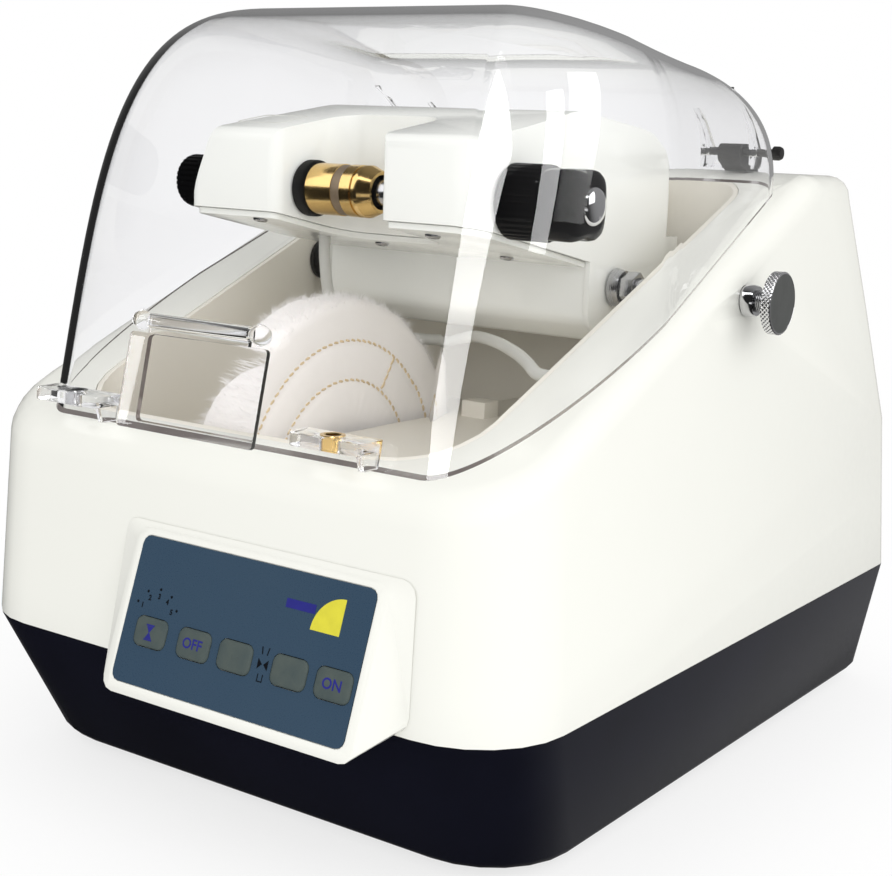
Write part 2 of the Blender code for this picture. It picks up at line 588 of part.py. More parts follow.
def make_flap():
    """Clear flap over the window, swinging on a rod held by two knuckles."""
    left, right = FLAP_X - FLAP_HALF, FLAP_X + FLAP_HALF
    rod, ball = 0.0016, 0.0046
    profile = []
    for centre in (right - 0.0055, left + 0.0055):
        profile += [(centre + ball * math.cos(math.radians(a)), ball * math.sin(math.radians(a)))
                    for a in (21, 45, 90, 135, 159)]
    profile = [(profile[0][0], 0)] + profile + [(profile[-1][0], 0)]
    turned("flap_hinge_rod", profile, FLAP_PIVOT_Y, FLAP_PIVOT_Z, (CLEAR, 0.03, 0.0, 0.5), steps=12)
    inner_left, inner_right = left + 0.0105, right - 0.0105
    empty = bpy.data.objects.new("flap_pivot", None)
    empty.location = (0, FLAP_PIVOT_Y, FLAP_PIVOT_Z)
    empty.parent = frame
    parts.objects.link(empty)
    lean = math.atan(HOOD_LEAN_FRONT * 1.06)
    flap = plate("window_flap", [fillet([
        (left, -0.0460, 0.002), (right, -0.0460, 0.002), (right, -0.0052, 0.002), (left, -0.0052, 0.002)])],
        "XZ", -0.0008, 0.0012, (CLEAR, 0.02, 0.0, 0.3), parent=empty)
    flap.rotation_euler = (-lean, 0, 0)
    barrel = turned("flap_barrel", tube_profile(inner_left, inner_right, rod, 0.0032), 0, 0,
                    parent=empty, steps=16, ring=True)
    neck = block("flap_neck", (inner_left, -0.0008, -0.0062), (inner_right, 0.0012, -0.0024), parent=empty)
    neck.rotation_euler = (-lean, 0, 0)
    neck.location = Matrix.Rotation(-lean, 3, "X") @ neck.location
    bore = turned("flap_bore", rod_profile(inner_left - 0.01, inner_right + 0.01, 0.0020), 0, 0,
                  parent=empty, steps=16)
    boolean(flap, neck, "UNION")
    boolean(flap, barrel, "UNION")
    boolean(flap, bore)


# ---------------------------------------------------------------- console
def console_frame():
    """Matrix whose X runs along the console, Y up its face and Z out of the face."""
    up = Vector((0, math.sin(CONSOLE_TILT), math.cos(CONSOLE_TILT)))
    out = Vector((0, -math.cos(CONSOLE_TILT), math.sin(CONSOLE_TILT)))
    turn = Matrix((Vector((1, 0, 0)), up, out)).transposed().to_4x4()
    return Matrix.Translation(CONSOLE_CENTRE) @ turn


def rectangle(half_x, half_y, radius, u=0.0, v=0.0):
    return fillet([(u - half_x, v - half_y, radius), (u + half_x, v - half_y, radius),
                   (u + half_x, v + half_y, radius), (u - half_x, v + half_y, radius)], math.radians(30))


def make_console():
    face = console_frame()
    empty = bpy.data.objects.new("console_face", None)
    empty.matrix_world = face
    empty.parent = frame
    parts.objects.link(empty)
    half_x, half_y = MEMBRANE_WIDTH / 2, MEMBRANE_HEIGHT / 2
    to_face = face.inverted()

    def wall_ring(margin, offset):
        """Outline where the console meets the housing's front wall, in console coordinates."""
        ring = rectangle(0.0755 - margin, 0.0292 - margin, 0.006, CONSOLE_CENTRE.x + 0.0015, 0.0955)
        places = [wall_point(0, -DEPTH / 2, z) for _, z in ring]
        return [tuple(to_face @ Vector((x, place[1] - offset, z))) for (x, z), place in zip(ring, places)]

    def face_ring(margin, depth):
        tall = half_y + (CONSOLE_BORDER + CONSOLE_TOP_BORDER) / 2 - margin
        middle = (CONSOLE_TOP_BORDER - CONSOLE_BORDER) / 2
        return [(x, y, depth) for x, y in rectangle(half_x + CONSOLE_BORDER - margin, tall, 0.006, 0, middle)]

    housing = loft("console_housing", [wall_ring(0, GAP), face_ring(0, -0.0005), face_ring(0.0006, 0.0)],
                   (WHITE, 0.28), parent=empty)
    boolean(housing, loft("console_hollow", [wall_ring(WALL, -0.004), face_ring(0.006, -0.0032)], parent=empty))
    boolean(housing, plate("membrane_recess", [rectangle(half_x, half_y, 0.004)], "XY", -0.0006, 0.01,
                           parent=empty))
    holes = []
    for name, u in BUTTONS.items():
        hole = rectangle(BUTTON_WIDTH / 2, BUTTON_HEIGHT / 2, 0.0035, u, BUTTON_V)
        holes.append(hole)
        boolean(housing, plate(f"{name}_slot", [hole], "XY", -0.01, 0.01, parent=empty))
        cap = rectangle(BUTTON_WIDTH / 2 - GAP, BUTTON_HEIGHT / 2 - GAP, 0.0032, u, BUTTON_V)
        plate(name, [cap], "XY", -0.0050, 0.0008, (KEY, 0.5), parent=empty, origin=(u, BUTTON_V, 0))
    plate("console_membrane", [rectangle(half_x - GAP, half_y - GAP, 0.0037)] + holes, "XY",
          -0.0003, 0.0002, (BLUE, 0.35), parent=empty)
    board = block("console_board", (-0.0560, -0.0200, -0.0100), (0.0595, -0.0020, -0.0084), (GREEN, 0.4),
                  parent=empty)
    for name, u in BUTTONS.items():
        boolean(board, block(f"{name}_switch", (u - 0.003, BUTTON_V - 0.003, -0.0090),
                             (u + 0.003, BUTTON_V + 0.003, -0.0064), parent=empty), "UNION")


# ---------------------------------------------------------------- buffing wheel and its drive
def belt_outline(radius_a, radius_b, steps=20):
    """Racetrack round the wheel pulley (a) and the motor pulley (b), in the YZ plane."""
    a, b = Vector((WHEEL_Y, WHEEL_Z)), Vector((MOTOR_Y, MOTOR_Z))
    heading = math.atan2(b.y - a.y, b.x - a.x)
    lap = math.acos((radius_a - radius_b) / (b - a).length)
    outline = []
    for centre, radius, start, sweep in ((a, radius_a, lap, math.tau - 2 * lap), (b, radius_b, -lap, 2 * lap)):
        for k in range(steps + 1):
            angle = heading + start + sweep * k / steps
            outline.append((centre.x + radius * math.cos(angle), centre.y + radius * math.sin(angle)))
    return outline


def pulley_profile(radius, bore):
    edge, half = radius + 0.0042, PULLEY_WIDTH / 2
    right, left = PULLEY_X + half + 0.002, PULLEY_X - half - 0.002
    return [(right, bore), (right, edge), (right - 0.002, edge), (right - 0.002, radius),
            (left + 0.002, radius), (left + 0.002, edge), (left, edge), (left, bore)]


def make_wheel():
    rim, face = WHEEL_RADIUS, 0.0035
    wheel = [(WHEEL_RIGHT - 0.002, SPINDLE_RADIUS + GAP), (WHEEL_RIGHT - 0.002, 0.024),
             (WHEEL_RIGHT, 0.034), (WHEEL_RIGHT, rim - face), (WHEEL_RIGHT - face, rim),
             (WHEEL_LEFT + face, rim), (WHEEL_LEFT, rim - face), (WHEEL_LEFT, 0.034),
             (WHEEL_LEFT + 0.002, 0.024), (WHEEL_LEFT + 0.002, SPINDLE_RADIUS + GAP)]
    turned("buffing_wheel", wheel, WHEEL_Y, WHEEL_Z, (CLOTH, 0.95), steps=40, ring=True)
    shoulder = WHEEL_LEFT + 0.002 - GAP
    spindle = [(-0.0055, 0), (-0.0055, 0.0055), (-0.0060, SPINDLE_RADIUS), (shoulder, SPINDLE_RADIUS),
               (shoulder, 0.022), (shoulder - 0.003, 0.022), (shoulder - 0.003, 0.009),
               (-0.0495, 0.009), (-0.0495, SPINDLE_RADIUS), (-0.1265, SPINDLE_RADIUS), (-0.1265, 0)]
    turned("wheel_spindle", spindle, WHEEL_Y, WHEEL_Z, (STEEL, 0.3, 1.0))
    flange_left = WHEEL_RIGHT - 0.002 + GAP
    turned("wheel_flange", [(flange_left + 0.003, SPINDLE_RADIUS + GAP), (flange_left + 0.003, 0.018),
                            (flange_left + 0.0015, 0.022), (flange_left, 0.022),
                            (flange_left, SPINDLE_RADIUS + GAP)],
           WHEEL_Y, WHEEL_Z, (STEEL, 0.3, 1.0), ring=True)
    hexagon = [(WHEEL_Y + 0.0105 * math.cos(math.tau * k / 6), WHEEL_Z + 0.0105 * math.sin(math.tau * k / 6))
               for k in range(6)]
    thread = [(WHEEL_Y + (SPINDLE_RADIUS + GAP) * math.cos(math.tau * k / 24),
               WHEEL_Z + (SPINDLE_RADIUS + GAP) * math.sin(math.tau * k / 24)) for k in range(24)]
    plate("wheel_nut", [hexagon, thread], "YZ", flange_left + 0.003 + GAP, -0.0068, (STEEL, 0.35, 1.0),
          origin=(0, WHEEL_Y, WHEEL_Z))
    turned("wheel_pulley", pulley_profile(WHEEL_PULLEY_RADIUS, SPINDLE_RADIUS + GAP), WHEEL_Y, WHEEL_Z,
           (STEEL, 0.4, 1.0), ring=True)
    housing = block("bearing_block", (-0.100, WHEEL_Y - 0.021, 0.103), (WELL_LEFT - BASIN_WALL - GAP,
                    WHEEL_Y + 0.021, SHELF_LEFT_Z - BASIN_WALL - GAP), ((0.35, 0.36, 0.38), 0.5, 1.0), 0.0015)
    boolean(housing, turned("bearing_bore", rod_profile(-0.11, -0.045, 0.0130), WHEEL_Y, WHEEL_Z))
    turned("wheel_bearing", tube_profile(-0.096, -0.058, SPINDLE_RADIUS + GAP, 0.0127), WHEEL_Y, WHEEL_Z,
           (STEEL, 0.25, 1.0), ring=True)


def make_motor():
    radius = MOTOR_RADIUS
    body = [(-0.006, 0), (-0.006, radius - 0.010), (-0.012, radius - 0.004), (-0.020, radius),
            (-0.084, radius), (-0.092, radius - 0.004), (-0.0980, radius - 0.012), (-0.0980, 0.010),
            (-0.1010, 0.010), (-0.1010, 0.0043), (-0.080, 0.0043), (-0.080, 0)]
    turned("wheel_motor", body, MOTOR_Y, MOTOR_Z, ((0.30, 0.31, 0.33), 0.45, 1.0))
    pulley = pulley_profile(MOTOR_PULLEY_RADIUS, 0.0)[1:-1]
    right = PULLEY_X + PULLEY_WIDTH / 2 + 0.002
    left = PULLEY_X - PULLEY_WIDTH / 2 - 0.002
    shaft = [(-0.085, 0), (-0.085, 0.0040), (right, 0.0040)] + pulley + [(left, 0)]
    turned("motor_pulley", shaft, MOTOR_Y, MOTOR_Z, (STEEL, 0.4, 1.0))
    cradle = block("motor_cradle", (-0.078, MOTOR_Y - 0.034, WALL + GAP), (-0.030, MOTOR_Y + 0.034, 0.030),
                   (BLACK, 0.6))
    boolean(cradle, turned("cradle_seat", rod_profile(-0.09, -0.01, radius + GAP), MOTOR_Y, MOTOR_Z))
    belt = 0.0030
    plate("drive_belt", [belt_outline(WHEEL_PULLEY_RADIUS + GAP + belt, MOTOR_PULLEY_RADIUS + GAP + belt),
                         belt_outline(WHEEL_PULLEY_RADIUS + GAP, MOTOR_PULLEY_RADIUS + GAP)],
          "YZ", PULLEY_X - PULLEY_WIDTH / 2 + GAP, PULLEY_X + PULLEY_WIDTH / 2 - GAP, (RUBBER, 0.7))
    board = block("control_board", (0.020, 0.085, 0.0100), (0.125, 0.165, 0.0116), (GREEN, 0.4))
    for name, low, high in (("supply", (0.030, 0.095, 0.0110), (0.065, 0.125, 0.0380)),
                            ("relay_a", (0.075, 0.100, 0.0110), (0.090, 0.112, 0.0270)),
                            ("relay_b", (0.095, 0.100, 0.0110), (0.110, 0.112, 0.0270)),
                            ("heat_sink", (0.035, 0.140, 0.0110), (0.075, 0.150, 0.0350)),
                            ("posts", (0.060, 0.110, WALL + GAP), (0.070, 0.120, 0.0110))):
        boolean(board, block(f"board_{name}", low, high), "UNION")


# ---------------------------------------------------------------- carriage
PLAN = [(CARRIAGE_LEFT, CARRIAGE_FRONT, 0.007), (NOTCH_LEFT, CARRIAGE_FRONT, 0.006),
        (NOTCH_LEFT, NOTCH_BACK, 0.014), (NOTCH_RIGHT, NOTCH_BACK, 0.014),
        (NOTCH_RIGHT, CARRIAGE_FRONT, 0.004), (CARRIAGE_RIGHT, CARRIAGE_FRONT, 0.016),
        (CARRIAGE_RIGHT, CARRIAGE_REAR, 0.012), (CARRIAGE_REAR_LEFT, CARRIAGE_REAR, 0.012),
        (CARRIAGE_REAR_LEFT, -0.030, 0.010), (CARRIAGE_LEFT, -0.045, 0.010)]
UNDERSIDE_FRONT_Z, UNDERSIDE_REAR_Z, UNDERSIDE_BEND_Y = 0.2505, 0.2330, -0.022
SIDE = [(CARRIAGE_FRONT, UNDERSIDE_FRONT_Z, 0), (UNDERSIDE_BEND_Y, UNDERSIDE_REAR_Z, 0),
        (CARRIAGE_REAR, UNDERSIDE_REAR_Z, 0), (CARRIAGE_REAR, 0.272, 0.012), (0.030, 0.293, 0.030),
        (-0.030, 0.3005, 0.040), (CARRIAGE_FRONT, 0.2865, 0.007)]
FRONT = [(-0.0930, 0.180, 0), (0.0900, 0.180, 0), (0.0900, 0.291, 0), (0.0735, 0.291, 0.0),
         (0.0600, 0.315, 0.0), (-0.0640, 0.315, 0.0), (-0.0910, 0.2500, 0)]
CHEEK = [(UNDERSIDE_BEND_Y, 0.2420, 0), (UNDERSIDE_BEND_Y, 0.2050, 0.010), (-0.0060, 0.1940, 0.012),
         (0.0320, 0.1940, 0.020), (0.0570, 0.2060, 0.012), (CARRIAGE_REAR, 0.2300, 0.010),
         (CARRIAGE_REAR, 0.2420, 0)]


def carriage_solid(name, margin, look=None, drop=0.0):
    """Three crossed prisms: plan, side and front outlines, all moved inwards by margin."""
    side = inset(SIDE, margin)
    if drop:
        side[:3] = [(u, v - drop, 0) for u, v, _ in side[:3]]
    body = plate(name, [fillet(inset(PLAN, margin))], "XY", 0.180, 0.320, look)
    boolean(body, plate(f"{name}_side", [fillet(side)], "YZ", -0.12, 0.12), "INTERSECT")
    boolean(body, plate(f"{name}_front", [fillet(inset(FRONT, margin))], "XZ", -0.15, 0.10), "INTERSECT")
    return body


def make_carriage():
    shell = carriage_solid("carriage_shell", 0.0, (WHITE, 0.25))
    for name, low, high in (("cheek_left", CARRIAGE_REAR_LEFT, CARRIAGE_REAR_LEFT + SHELL),
                            ("cheek_right", CARRIAGE_RIGHT - SHELL, CARRIAGE_RIGHT)):
        boolean(shell, plate(name, [fillet(CHEEK)], "YZ", low, high), "UNION")
    boolean(shell, carriage_solid("carriage_hollow", SHELL, drop=0.02))
    for name, low, high, y, z, radius in (
            ("lens_bore_left", -0.095, NOTCH_LEFT + 0.004, LENS_Y, LENS_Z, LENS_SHAFT_RADIUS + GAP),
            ("lens_bore_right", NOTCH_RIGHT - 0.004, 0.080, LENS_Y, LENS_Z, 0.0063),
            ("pivot_bore", -0.090, 0.080, PIVOT_Y, PIVOT_Z, PIVOT_RADIUS + GAP)):
        boolean(shell, turned(name, rod_profile(low, high, radius), y, z))
    make_pan()
    make_lens_drive()
    make_clamp()


def make_pan():
    """Cover under the carriage: a thin plate with a tub for the pivot."""
    top = [(CARRIAGE_FRONT + 0.002, UNDERSIDE_FRONT_Z - 0.0007, 0), (UNDERSIDE_BEND_Y, UNDERSIDE_REAR_Z - GAP, 0),
           (CARRIAGE_REAR - 0.002, UNDERSIDE_REAR_Z - GAP, 0)]
    bottom = [(u, v - 0.0022, 0) for u, v, _ in reversed(top)]
    pan = plate("carriage_pan", [fillet(bottom + top)], "YZ", -0.0885, 0.0700, (WHITE, 0.32))
    boolean(pan, plate("pan_plan", [fillet(inset(PLAN, SHELL + GAP))], "XY", 0.18, 0.32), "INTERSECT")
    low, high = CARRIAGE_REAR_LEFT + SHELL + GAP, CARRIAGE_RIGHT - SHELL - GAP
    tub = [(u, min(v, UNDERSIDE_REAR_Z - 0.001), r) for u, v, r in inset(CHEEK, 0.0008)]
    boolean(pan, plate("pan_tub", [fillet(tub)], "YZ", low, high), "UNION")
    hollow = inset(CHEEK, 0.0008 + SHELL)
    for end in (0, -1):
        hollow[end] = (hollow[end][0], hollow[end][1] + 0.004, 0)
    boolean(pan, plate("pan_hollow", [fillet(hollow)], "YZ", low + SHELL, high - SHELL))
    boolean(pan, turned("pan_pivot_bore", rod_profile(low - 0.01, high + 0.01, PIVOT_RADIUS + GAP),
                        PIVOT_Y, PIVOT_Z))
    hole = [(-0.0540 + 0.0036 * math.cos(math.tau * k / 16), -0.0560 + 0.0036 * math.sin(math.tau * k / 16))
            for k in range(16)]
    boolean(pan, plate("pan_cable_hole", [hole], "XY", 0.22, 0.26))


def gear_outline(teeth, y, z, phase):
    """Trapezoidal teeth, with clearance at the flanks, tips and roots."""
    pitch = GEAR_MODULE * teeth / 2
    step = math.tau / teeth
    outline = []
    for k in range(teeth):
        centre = phase + k * step
        for radius, offset in ((pitch - 1.2 * GEAR_MODULE, -0.28), (pitch + 0.8 * GEAR_MODULE, -0.12),
                               (pitch + 0.8 * GEAR_MODULE, 0.12), (pitch - 1.2 * GEAR_MODULE, 0.28)):
            angle = centre + offset * step
            outline.append((y + radius * math.cos(angle), z + radius * math.sin(angle)))
    return outline


def make_lens_drive():
    """Gearmotor, idler and spindle gear in the left arm, and what turns with the lens."""
    slack = 0.00025
    idler_y = LENS_Y + GEAR_MODULE * (SPINDLE_TEETH + IDLER_TEETH) / 2 + slack
    pinion_y = idler_y + GEAR_MODULE * (IDLER_TEETH + PINION_TEETH) / 2 + slack
    low, high = GEAR_X - GEAR_WIDTH / 2, GEAR_X + GEAR_WIDTH / 2
    half = math.pi / IDLER_TEETH
    plate("spindle_gear", [gear_outline(SPINDLE_TEETH, LENS_Y, LENS_Z, 0.0),
                           circle(LENS_Y, LENS_Z, LENS_SHAFT_RADIUS + GAP)],
          "YZ", low, high, ((0.85, 0.85, 0.80), 0.5), origin=(0, LENS_Y, LENS_Z))
    plate("idler_gear", [gear_outline(IDLER_TEETH, idler_y, LENS_Z, math.pi - half),
                         circle(idler_y, LENS_Z, 0.0028)],
          "YZ", low, high, ((0.85, 0.85, 0.80), 0.5), origin=(0, idler_y, LENS_Z))
    # the idler's tooth or gap on the pinion side faces a gap or tooth of the pinion
    facing = (math.tau - (math.pi - half)) % (2 * half)
    pinion_phase = math.pi - math.pi / PINION_TEETH - facing * IDLER_TEETH / PINION_TEETH
    pinion = plate("motor_pinion", [gear_outline(PINION_TEETH, pinion_y, LENS_Z, pinion_phase)],
                   "YZ", low, high, (BRASS, 0.35, 1.0), origin=(0, pinion_y, LENS_Z))
    plate_x = high + 0.0008
    bracket = block("gear_bracket", (plate_x, idler_y - 0.010, LENS_Z - 0.016),
                    (plate_x + 0.002, pinion_y + 0.014, LENS_Z + 0.016), (STEEL, 0.4, 1.0))
    boolean(bracket, turned("idler_axle", rod_profile(low - 0.001, plate_x + 0.001, 0.0025), idler_y, LENS_Z,
                            steps=20), "UNION")
    boolean(bracket, turned("motor_shaft_hole", rod_profile(plate_x - 0.01, plate_x + 0.01, 0.0026),
                            pinion_y, LENS_Z, steps=20))
    motor = [(plate_x + 0.044, 0), (plate_x + 0.044, 0.011), (plate_x + 0.041, 0.013),
             (plate_x + 0.002 + GAP, 0.013), (plate_x + 0.002 + GAP, 0.0045), (plate_x + 0.0120, 0.0045),
             (plate_x + 0.0120, 0)]
    turned("lens_motor", motor, pinion_y, LENS_Z, (STEEL, 0.35, 1.0))
    boolean(pinion, turned("motor_shaft", rod_profile(low + 0.001, plate_x + 0.0115, 0.0020), pinion_y, LENS_Z,
                           steps=16), "UNION")
    turned("lens_spindle", rod_profile(-0.1035, -0.0195, LENS_SHAFT_RADIUS), LENS_Y, LENS_Z,
           (STEEL, 0.25, 1.0))
    knob = []
    for k in range(72):
        radius = 0.0125 if k % 4 in (0, 1) else 0.0116
        angle = math.tau * k / 72
        knob.append((LENS_Y + radius * math.cos(angle), LENS_Z + radius * math.sin(angle)))
    grip = plate("spindle_knob", [knob], "YZ", -0.1100, -0.0925, (BLACK, 0.25), origin=(0, LENS_Y, LENS_Z))
    boolean(grip, turned("knob_bore", rod_profile(-0.1040, -0.085, LENS_SHAFT_RADIUS + GAP), LENS_Y, LENS_Z))
    turned("rubber_ring", tube_profile(-0.0364, -0.0300, LENS_SHAFT_RADIUS + GAP, 0.0127), LENS_Y, LENS_Z,
           (RUBBER, 0.6), steps=28, ring=True)
    chuck = [(-0.0190, 0), (-0.0190, LENS_SHAFT_RADIUS + GAP), (-0.0297, LENS_SHAFT_RADIUS + GAP),
             (-0.0297, 0.0116), (0.0000, 0.0116), (0.0055, 0.0092), (0.0055, 0.0075), (0.0010, 0.0075),
             (0.0010, 0)]
    turned("brass_chuck", chuck, LENS_Y, LENS_Z, (BRASS, 0.25, 1.0), steps=32)


def make_clamp():
    """Right arm: the sliding clamp shaft and the knob that screws it in and out."""
    turned("clamp_shaft", rod_profile(0.0060, 0.0880, 0.0060), LENS_Y, LENS_Z, (STEEL, 0.2, 1.0))
    start, middle, end = CARRIAGE_RIGHT + 0.0006, 0.0930, 0.1110
    fluted = []
    for k in range(80):
        radius = 0.0160 if k % 4 in (0, 1) else 0.0150
        angle = math.tau * k / 80
        fluted.append((LENS_Y + radius * math.cos(angle), LENS_Z + radius * math.sin(angle)))
    lobes = []
    for k in range(48):
        angle = math.tau * k / 48
        radius = 0.0158 + 0.0019 * math.cos(4 * (angle - math.radians(45)))
        lobes.append((LENS_Y + radius * math.cos(angle), LENS_Z + radius * math.sin(angle)))
    knob = plate("clamp_knob", [lobes], "YZ", middle, end, (BLACK, 0.22), origin=(0, LENS_Y, LENS_Z))
    boolean(knob, plate("clamp_sleeve", [fluted], "YZ", start, middle + 0.001), "UNION")
    boolean(knob, turned("clamp_bore", rod_profile(start - 0.01, 0.1025, 0.0064), LENS_Y, LENS_Z))
    dome = [(end + GAP, 0)]
    dome += [(end + GAP + 0.0035 * math.sin(math.radians(a)), 0.0080 * math.cos(math.radians(a)))
             for a in (0, 30, 60, 80)]
    dome.append((end + GAP + 0.0035, 0))
    turned("clamp_dome", dome, LENS_Y, LENS_Z, (CHROME, 0.1, 1.0), steps=28)


# ---------------------------------------------------------------- pivot, adjusting knob, cable
def make_pivot():
    shaft = [(0.1500, 0), (0.1500, 0.0042), (0.1495, 0.0046), (0.0920, 0.0046), (0.0920, PIVOT_RADIUS),
             (0.0790, PIVOT_RADIUS), (0.0790, 0.0080), (0.0750, 0.0090), (0.0742, 0.0090),
             (0.0742, PIVOT_RADIUS), (-0.1140, PIVOT_RADIUS), (-0.1140, 0)]
    turned("pivot_shaft", shaft, PIVOT_Y, PIVOT_Z, (STEEL, 0.25, 1.0))
    hexagon = [(PIVOT_Y + 0.0080 * math.cos(math.tau * k / 6 + 0.4),
                PIVOT_Z + 0.0080 * math.sin(math.tau * k / 6 + 0.4)) for k in range(6)]
    plate("pivot_lock_nut", [hexagon, circle(PIVOT_Y, PIVOT_Z, PIVOT_RADIUS + GAP)], "YZ", 0.0800, 0.0860,
          ((0.12, 0.12, 0.12), 0.35, 1.0), origin=(0, PIVOT_Y, PIVOT_Z))
    inner_wall = OPENING_HALF - GAP - BASIN_WALL
    cap = [(0.0180 - inner_wall, PIVOT_RADIUS + GAP), (0.0180 - inner_wall, 0.0080),
           (0.0025 - inner_wall, 0.0085), (0.0025 - inner_wall, 0.0105), (GAP - inner_wall, 0.0105),
           (GAP - inner_wall, 0.0060), (-inner_wall - 0.0160, 0.0060), (-inner_wall - 0.0160, PIVOT_RADIUS + GAP)]
    turned("pivot_bush_left", cap, PIVOT_Y, PIVOT_Z, (BLACK, 0.4), ring=True)
    wall = WIDTH / 2 * (1 - SIDE_DRAFT * (PIVOT_Z - SEAM_Z))
    collar = [(wall + 0.0062, 0.0049), (wall + 0.0062, 0.0066), (wall + 0.0050, 0.0072),
              (wall + 0.0009, 0.0072), (wall + 0.0009, 0.0063), (wall - 0.0060, 0.0063), (wall - 0.0060, 0.0049)]
    turned("pivot_collar", collar, PIVOT_Y, PIVOT_Z, (CHROME, 0.15, 1.0), steps=28, ring=True)
    rim = []
    for k in range(60):
        radius = 0.0140 if k % 2 else 0.0136
        angle = math.tau * k / 60
        rim.append((PIVOT_Y + radius * math.cos(angle), PIVOT_Z + radius * math.sin(angle)))
    knob = plate("adjusting_knob", [rim], "YZ", 0.1534, 0.1584, (CHROME, 0.25, 1.0),
                 origin=(0, PIVOT_Y, PIVOT_Z))
    hub = turned("knob_hub", rod_profile(0.1505, 0.1540, 0.0066), PIVOT_Y, PIVOT_Z)
    boolean(knob, hub, "UNION")


def make_cable():
    wall = OPENING_HALF - GAP - BASIN_WALL
    turned("cable_grommet", [(wall - 0.0030, 0.0032), (wall - 0.0030, 0.0048), (wall - GAP, 0.0056),
                             (wall - GAP, 0.0046), (wall + 0.0040, 0.0046), (wall + 0.0040, 0.0032)],
           CABLE_Y, CABLE_Z, (RUBBER, 0.7), steps=16, ring=True)
    route = [(-0.0540, -0.0540, 0.2460), (-0.0540, -0.0560, 0.2380), (-0.0535, -0.0560, 0.2240),
             (-0.0530, -0.0520, 0.2080), (-0.0510, -0.0370, 0.1950), (-0.0440, -0.0180, 0.1880),
             (-0.0260, -0.0080, 0.1860), (-0.0050, -0.0130, 0.1890), (0.0180, -0.0290, 0.1935),
             (0.0400, -0.0450, 0.1945), (0.0600, -0.0600, 0.1930), (0.0770, -0.0770, 0.1915),
             (0.0880, -0.0885, CABLE_Z), (0.0980, CABLE_Y, CABLE_Z), (0.1110, CABLE_Y, CABLE_Z),
             (0.1180, -0.0920, 0.1870), (0.1230, -0.0880, 0.1730), (0.1260, -0.0750, 0.1510),
             (0.1280, -0.0450, 0.1180), (0.1260, -0.0050, 0.0880), (0.1220, 0.0350, 0.0620),
             (0.1175, 0.0700, 0.0400), (0.1155, 0.0950, 0.0250), (0.1150, 0.1150, 0.0152)]
    smooth = []
    for i in range(len(route) - 1):
        p0, p1 = Vector(route[max(i - 1, 0)]), Vector(route[i])
        p2, p3 = Vector(route[i + 1]), Vector(route[min(i + 2, len(route) - 1)])
        for t in (0.0, 0.5):
            smooth.append(0.5 * (2 * p1 + (p2 - p0) * t + (2 * p0 - 5 * p1 + 4 * p2 - p3) * t * t
                                 + (3 * p1 - p0 - 3 * p2 + p3) * t ** 3))
    smooth.append(Vector(route[-1]))
    curve = bpy.data.curves.new("carriage_cable", "CURVE")
    curve.dimensions = "3D"
    curve.bevel_depth = CABLE_RADIUS
    curve.bevel_resolution = 2
    curve.use_fill_caps = True
    curve.resolution_u = 1
    spline = curve.splines.new("POLY")
    spline.points.add(len(smooth) - 1)
    for point, place in zip(spline.points, smooth):
        point.co = (*place, 1)
    cable = bpy.data.objects.new("carriage_cable", curve)
    curve.materials.append(material("carriage_cable", WHITE, 0.5))
    cable.parent = frame
    parts.objects.link(cable)


make_base()
make_housing()
make_basin()
make_hood()
make_console()
make_wheel()
make_motor()
make_carriage()
make_pivot()
make_cable()
bpy.context.view_layer.update()
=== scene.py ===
"""Looks of the lens edge polisher: camera, soft studio light, procedural materials for every
CAD node, and finer pieces that stand for the nodes whose surface needs more than the CAD shows.

Everything is in metres in the row frame. Shapes are written in the machine frame of the CAD
source, and SHIFT takes them to the row frame.
"""
import math
import random

import bmesh
import bpy
from mathutils import Matrix, Vector


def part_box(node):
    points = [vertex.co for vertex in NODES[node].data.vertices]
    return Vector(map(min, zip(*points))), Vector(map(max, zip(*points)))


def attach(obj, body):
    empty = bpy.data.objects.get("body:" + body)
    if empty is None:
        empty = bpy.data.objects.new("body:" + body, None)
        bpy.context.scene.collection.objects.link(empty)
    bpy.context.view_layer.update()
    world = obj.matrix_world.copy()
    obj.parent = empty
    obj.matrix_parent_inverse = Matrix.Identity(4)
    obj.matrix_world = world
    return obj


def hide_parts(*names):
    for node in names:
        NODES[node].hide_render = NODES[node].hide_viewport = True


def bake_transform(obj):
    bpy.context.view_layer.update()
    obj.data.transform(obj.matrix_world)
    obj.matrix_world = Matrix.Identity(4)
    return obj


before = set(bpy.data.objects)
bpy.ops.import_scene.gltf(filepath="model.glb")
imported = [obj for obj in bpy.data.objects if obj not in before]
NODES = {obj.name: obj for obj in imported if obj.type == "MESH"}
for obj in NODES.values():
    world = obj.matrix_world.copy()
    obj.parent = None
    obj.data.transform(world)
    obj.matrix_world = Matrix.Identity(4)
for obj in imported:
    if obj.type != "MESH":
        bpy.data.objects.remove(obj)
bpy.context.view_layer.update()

SHIFT = Vector((-0.0042, 0.00937, 0.004))
TAU = math.tau


def middle(node):
    """Centre of a CAD node's box."""
    low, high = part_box(node)
    return (low + high) / 2


LENS = middle("clamp_shaft")          # a point on the lens axis
WHEEL = middle("buffing_wheel")
PIVOT = middle("adjusting_knob")

# ---------------------------------------------------------------- camera
CAMERA_TARGET = Vector((-0.01795, 0.0, 0.13562)) + SHIFT
CAMERA_DISTANCE = 0.81681
CAMERA_AZIMUTH, CAMERA_ELEVATION, CAMERA_ROLL = 0.60481, 0.18613, 0.040178
CAMERA_LENS = 64.574


